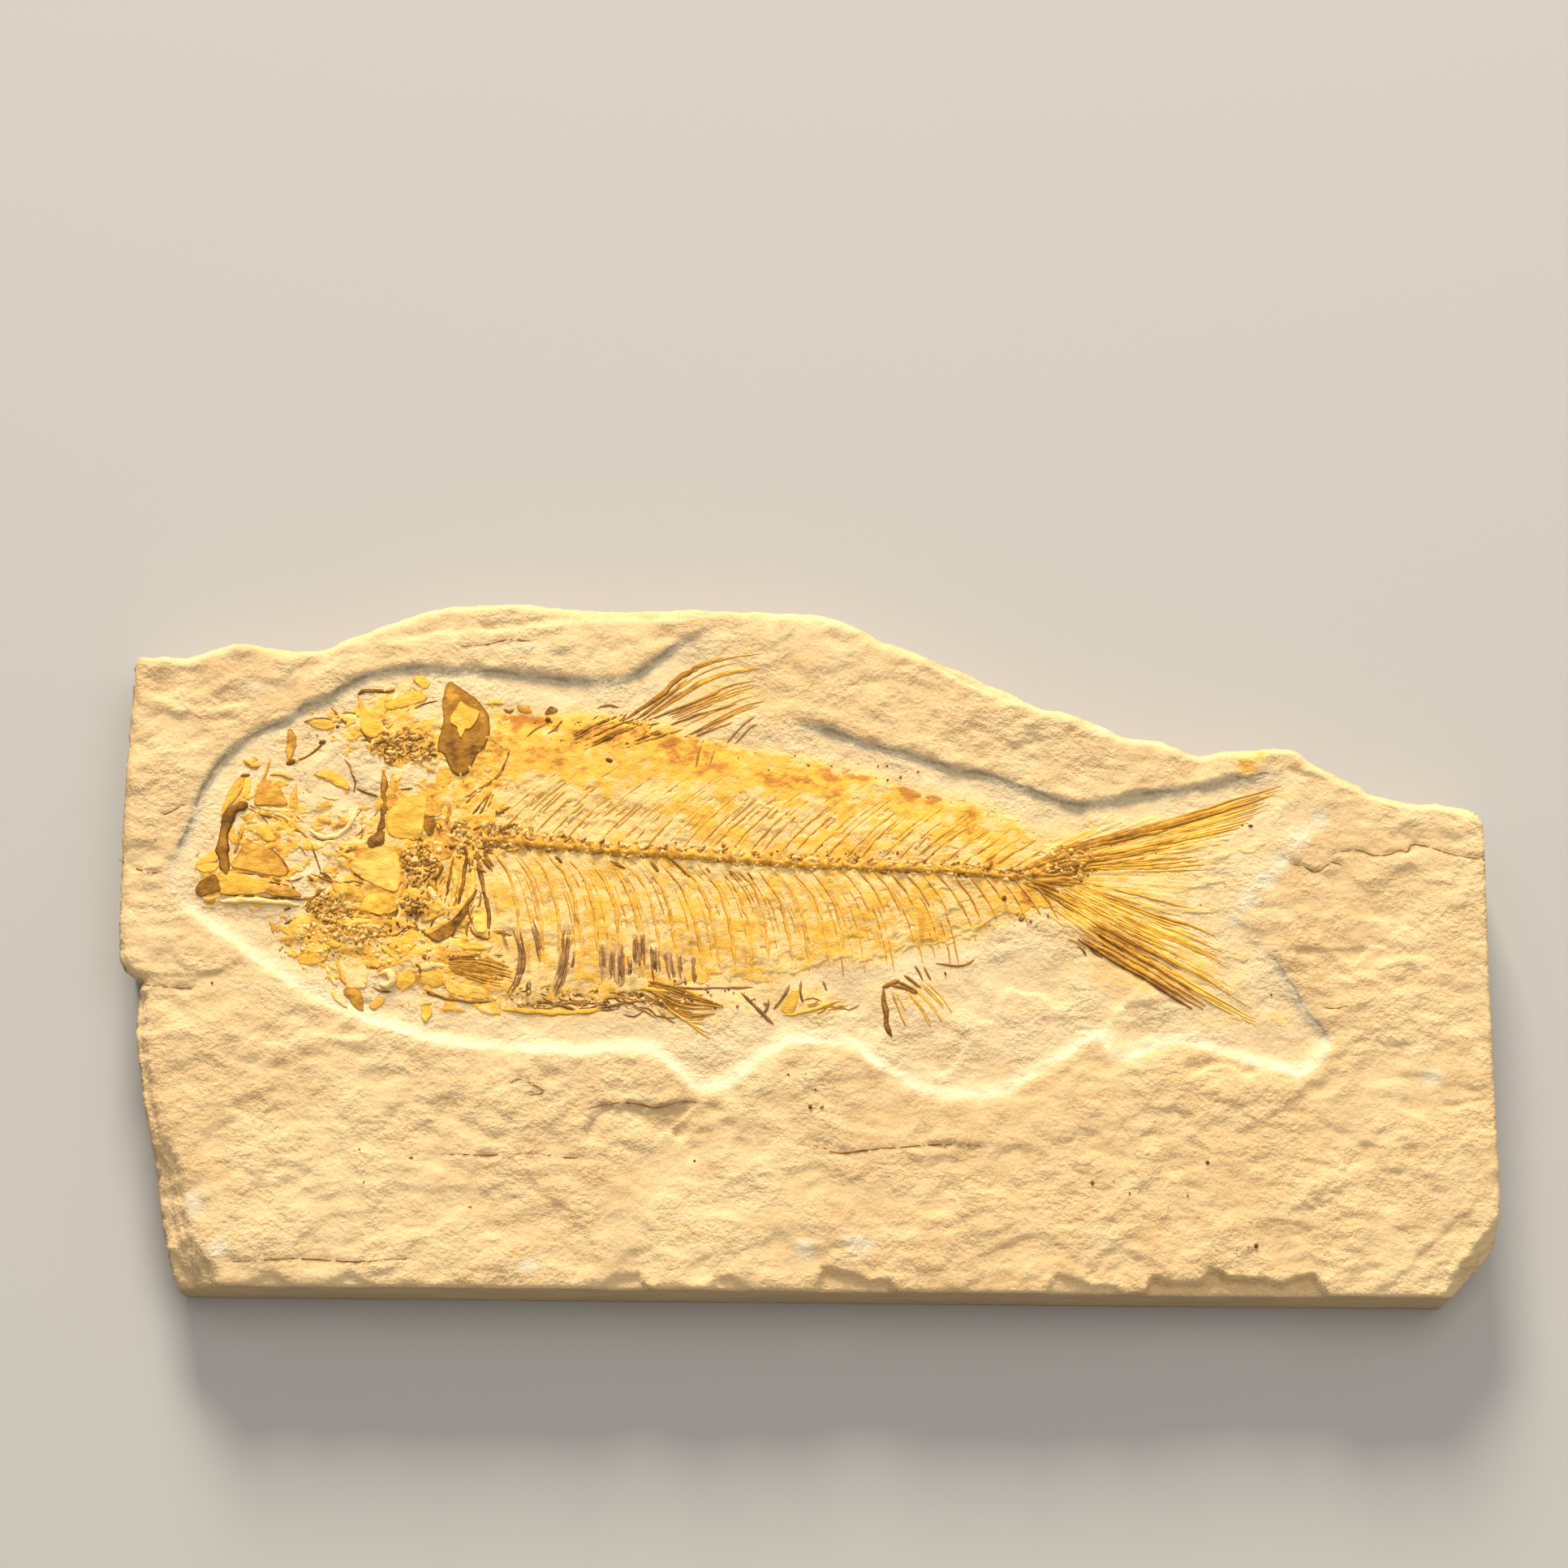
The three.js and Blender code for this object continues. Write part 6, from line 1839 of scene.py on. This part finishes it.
def splinters(patches, seed):
    """Short rods in patches (x, y, half width, half height, angle in degrees, count, length, width,
    shade), each bent a little in the middle."""
    chance = np.random.default_rng(seed)
    rods = []
    for x, y, wide, high, angle, count, length, width, shade in patches:
        for _ in range(int(count)):
            r, a = np.sqrt(chance.random()), 2 * np.pi * chance.random()
            turn = np.radians(angle + 14 * chance.standard_normal())
            half = length * (0.3 + 0.4 * chance.random()) * np.array([np.cos(turn), np.sin(turn)])
            place = np.array([x + wide * r * np.cos(a), y + high * r * np.sin(a)])
            bend = 0.15 * length * chance.standard_normal() * np.array([-np.sin(turn), np.cos(turn)])
            tone = np.clip(shade + 0.25 * chance.standard_normal(), 0, 1.2)
            rods.append(rod(width, tone, [place - half, place + bend, place + half], around=6, spacing=0.5))
    return rods


# %% [markdown]
# ## Where the rubble lies
#
# Crumbs and splinters are strewn in patches that say where, how many, how large and how dark. Single
# specks lie on the bare stone, and thin dark brown lines lie along the cracks.

# %% Rubble, specks and crack lines
# Patches of crumbs: x, y, half width, half height, count, size in mm, shade.
RUBBLE_DARK = rows("""
-39.6,3.3,1.4,0.9,25,0.4,0.25 -49,3.6,1.8,1.4,35,0.35,0.6 -47.5,1.5,3,1.2,40,0.3,0.5
-46,-0.4,5,1.6,50,0.28,0.4 -36,10.5,1.5,2,30,0.4,0.35 -31,13.4,1,0.6,12,0.3,0.3
27.5,8.3,2.8,1.8,60,0.35,0.35 -41.5,1.2,2.6,1,35,0.3,0.3 -22,-5.8,8,1,60,0.3,0.35
-33,-3.2,4,1.4,40,0.25,0.3 -22,22.4,6,1.6,60,0.25,0.35 -52,-1,2,1.4,18,0.25,0.45
-38.6,-2.6,1.4,1.4,16,0.3,0.2 -14,-5.6,3,1.5,30,0.3,0.35 -45,22.6,2.6,0.8,16,0.28,0.3
-52,16.5,1.2,2.2,10,0.22,0.5 -5,9.6,20,0.8,50,0.3,0.25 10,8.9,14,0.7,40,0.25,0.25
-6.6,-5.8,4,1.6,20,0.25,0.35 3,18.6,9,1.8,40,0.22,0.4 22,3.5,4,2.4,26,0.25,0.45 33,9,4,2,20,0.22,0.4
""")
RUBBLE_YELLOW = rows("""
-47,0.5,4,1.8,60,0.45,0.8 -46,-1.6,5.6,1.6,60,0.4,0.85 -36.5,11,1.4,2.5,26,0.5,0.8
-41,0,3.5,1.4,40,0.4,0.8 -36,-1.6,4,0.8,30,0.35,0.8 -24,-6,8,1.2,50,0.35,0.75 -50,0.2,2,1.2,24,0.4,0.8
27.5,8,3,2.2,40,0.3,0.8 -47.5,3,2.5,1.5,26,0.4,0.8 -44,23.6,2.5,1.5,18,0.3,0.8 -35,3.5,2.5,3,24,0.35,0.8
-12,-6.4,3.5,1.4,20,0.3,0.7 -50,21.8,1.6,0.8,12,0.3,0.8 -34,-4.6,3.5,1,26,0.3,0.8
""")
# Single specks: x, y, size in mm.
SPECKS = np.array([(x, y, 0.2, 0.2, 1, size, 0.1) for x, y, size in rows("""
-60,-5,0.5 -61.5,-3.2,0.4 0.5,-13.7,0.35 0.2,-14.3,0.3 0.7,-17.2,0.4 2.2,-17.2,0.35 -1.4,-13.7,0.3
-20.2,19.2,0.9 -6.9,19.5,0.5 -1,19.9,0.4 -26.5,23.6,0.7 -28,23.2,0.4 -5.1,11.1,0.35 -2.2,12.8,0.35
-16.5,12.2,0.35 20.5,4.7,0.6 19.8,14.5,0.35 22.2,2.7,0.4 31.8,2.2,0.4 45,12.8,0.4 46,12.8,0.4
43.1,6.2,0.35 40.6,4.1,0.4 15.9,-3.8,0.35 14.7,-3.1,0.35 47.8,-5,0.35 13.8,-11.7,0.3 21.9,-12,0.3
-44.2,-21.8,0.5 -39,-22.8,0.35 -43.8,-25.5,0.6 -66.7,10.2,0.5 1.4,-15.2,0.4 -10.6,-22.7,0.35
-33.2,-27.8,0.35 29.2,-24.6,0.4 31.2,-24.5,0.4 33,-25.6,0.35 34,-25.3,0.35 40.7,-22.5,0.4 36.5,-27,0.4
36,-28.1,0.35 38.5,-25.8,0.35 39.5,-28,0.4 43.3,-31.2,0.4 44.4,-30.9,0.35 45.5,-30.8,0.35
""")])
# Thin dark brown rods laid along the cracks.
crack_dark_lines = [rod(0.16, 0.3, line, height=0.2, around=6, spacing=0.6, blunt=0.3) for line in CRACKS]
heap("crack_dark_lines", "dark", crack_dark_lines)
heap("dark_rubble", "dark", [crumbs(np.concatenate([RUBBLE_DARK, SPECKS]), 301)])
heap("yellow_rubble", "pale", [crumbs(RUBBLE_YELLOW, 302)])
SPLINTERS_DARK = rows("""
-49.3,3.6,1.7,1.2,50,26,1.2,0.2,0.4 -47.5,2,2.5,0.8,10,16,1.2,0.22,0.3 -39.6,8,1.8,2,60,24,1.2,0.22,0.3
-33.4,8.6,1.6,1.4,-60,12,1.8,0.25,0.3 -41,20.3,2.4,1.2,20,20,0.9,0.2,0.25 -46.5,0,5,1.2,10,20,1,0.18,0.4
27.5,8.4,2.4,1.6,20,26,1.6,0.24,0.3 -30.5,11,3,1.4,10,24,0.9,0.2,0.3 -20,22.6,6,1.2,30,26,1.6,0.18,0.35
-22.5,-5.8,7,0.8,0,26,1.4,0.2,0.3 -46,-1.8,4,1,-20,14,1.3,0.16,0.5 30,0.5,3,1.6,-35,14,2,0.2,0.35
-46,2.5,6,3,12,34,1.8,0.17,0.45 -40.5,5,2.6,4.5,75,30,2,0.2,0.4 -36,4.5,2.6,5.5,80,26,2.4,0.22,0.4
-55.5,10,4,4.5,-50,14,1.6,0.15,0.6 -43.5,23,5,2,18,20,1.6,0.17,0.45 -42,11.5,4.5,3.5,60,16,1.6,0.16,0.55
-35.5,20,1.6,5,80,10,1.8,0.16,0.5 -34,-1,4.5,3,-10,24,1.8,0.18,0.45 -20,-6.6,9,0.9,0,26,2,0.18,0.35
-14,-6.5,4,1.6,-20,20,2.2,0.18,0.45 2,-6.5,4,1.2,20,10,1.6,0.16,0.5
""")
heap("dark_splinters", "dark", splinters(SPLINTERS_DARK, 303))

# %% [markdown]
# ## Camera
#
# The camera looks down on the slab, a little from its lower edge, and is turned by half a degree as a
# hand-held one would be.

# %% Camera
CAMERA_AIM = (-2.1, 16.7, FACE)
CAMERA_DISTANCE = 394
CAMERA_LEAN = np.radians(16.7)
CAMERA_ROLL = np.radians(0.54)
FIELD_OF_VIEW = np.radians(23.2)
aim = (CAMERA_AIM + datum) / PER_METRE
camera_data = bpy.data.cameras.new("camera")
camera_data.sensor_fit = "AUTO"
camera_data.angle = FIELD_OF_VIEW
camera_data.clip_start = 0.01
camera = bpy.data.objects.new("camera", camera_data)
bpy.context.scene.collection.objects.link(camera)
away = np.array([0, -np.sin(CAMERA_LEAN), np.cos(CAMERA_LEAN)])
camera.location = aim + away * CAMERA_DISTANCE / PER_METRE
turn = Vector(away).to_track_quat("Z", "Y").to_matrix().to_4x4()
camera.rotation_euler = (turn @ Matrix.Rotation(CAMERA_ROLL, 4, "Z")).to_euler()
bpy.context.scene.camera = camera

# %% [markdown]
# ## Floor and light
#
# A strong warm light comes in low over the slab's upper edge, so that every ripple casts a small
# shadow, and a large soft one fills from above. The floor is plain and pale, and no part of the slab.

# %% Floor and lights
FLOOR_HALF = 3
corners = [(FLOOR_HALF * x, FLOOR_HALF * y, 0) for x, y in ((-1, -1), (1, -1), (1, 1), (-1, 1))]
floor_mesh = bpy.data.meshes.new("floor")
floor_mesh.from_pydata(corners, [], [(0, 1, 2, 3)])
floor = bpy.data.objects.new("floor", floor_mesh)
bpy.context.scene.collection.objects.link(floor)
floor_finish = Finish("pale_floor", Roughness=0.95, Specular_IOR_Level=0.1, Base_Color=(0.45, 0.44, 0.43, 1))
floor_mesh.materials.append(floor_finish.material)


def area_light(name, place, aim_at, size, power, colour, spread=np.pi):
    """A square soft light at a place in metres, turned to shine at a point."""
    data = bpy.data.lights.new(name, "AREA")
    data.size = size
    data.energy = power
    data.color = colour
    data.spread = spread
    light = bpy.data.objects.new(name, data)
    light.location = place
    light.rotation_euler = (Vector(place) - Vector(aim_at)).to_track_quat("Z", "Y").to_euler()
    bpy.context.scene.collection.objects.link(light)


area_light("low_key", (-0.2, 1.5, 0.68), (0, 0, 0), 0.5, 11.8, (1, 0.92, 0.78), np.pi / 2)
area_light("fill", (0.25, 0.15, 1), (0, 0, 0), 0.8, 5, (1, 0.95, 0.87))
world = bpy.data.worlds.new("studio")
world.use_nodes = True
world.node_tree.nodes["Background"].inputs["Color"].default_value = (1, 0.97, 0.93, 1)
world.node_tree.nodes["Background"].inputs["Strength"].default_value = 0.35
bpy.context.scene.world = world
bpy.context.scene.view_settings.view_transform = "Standard"
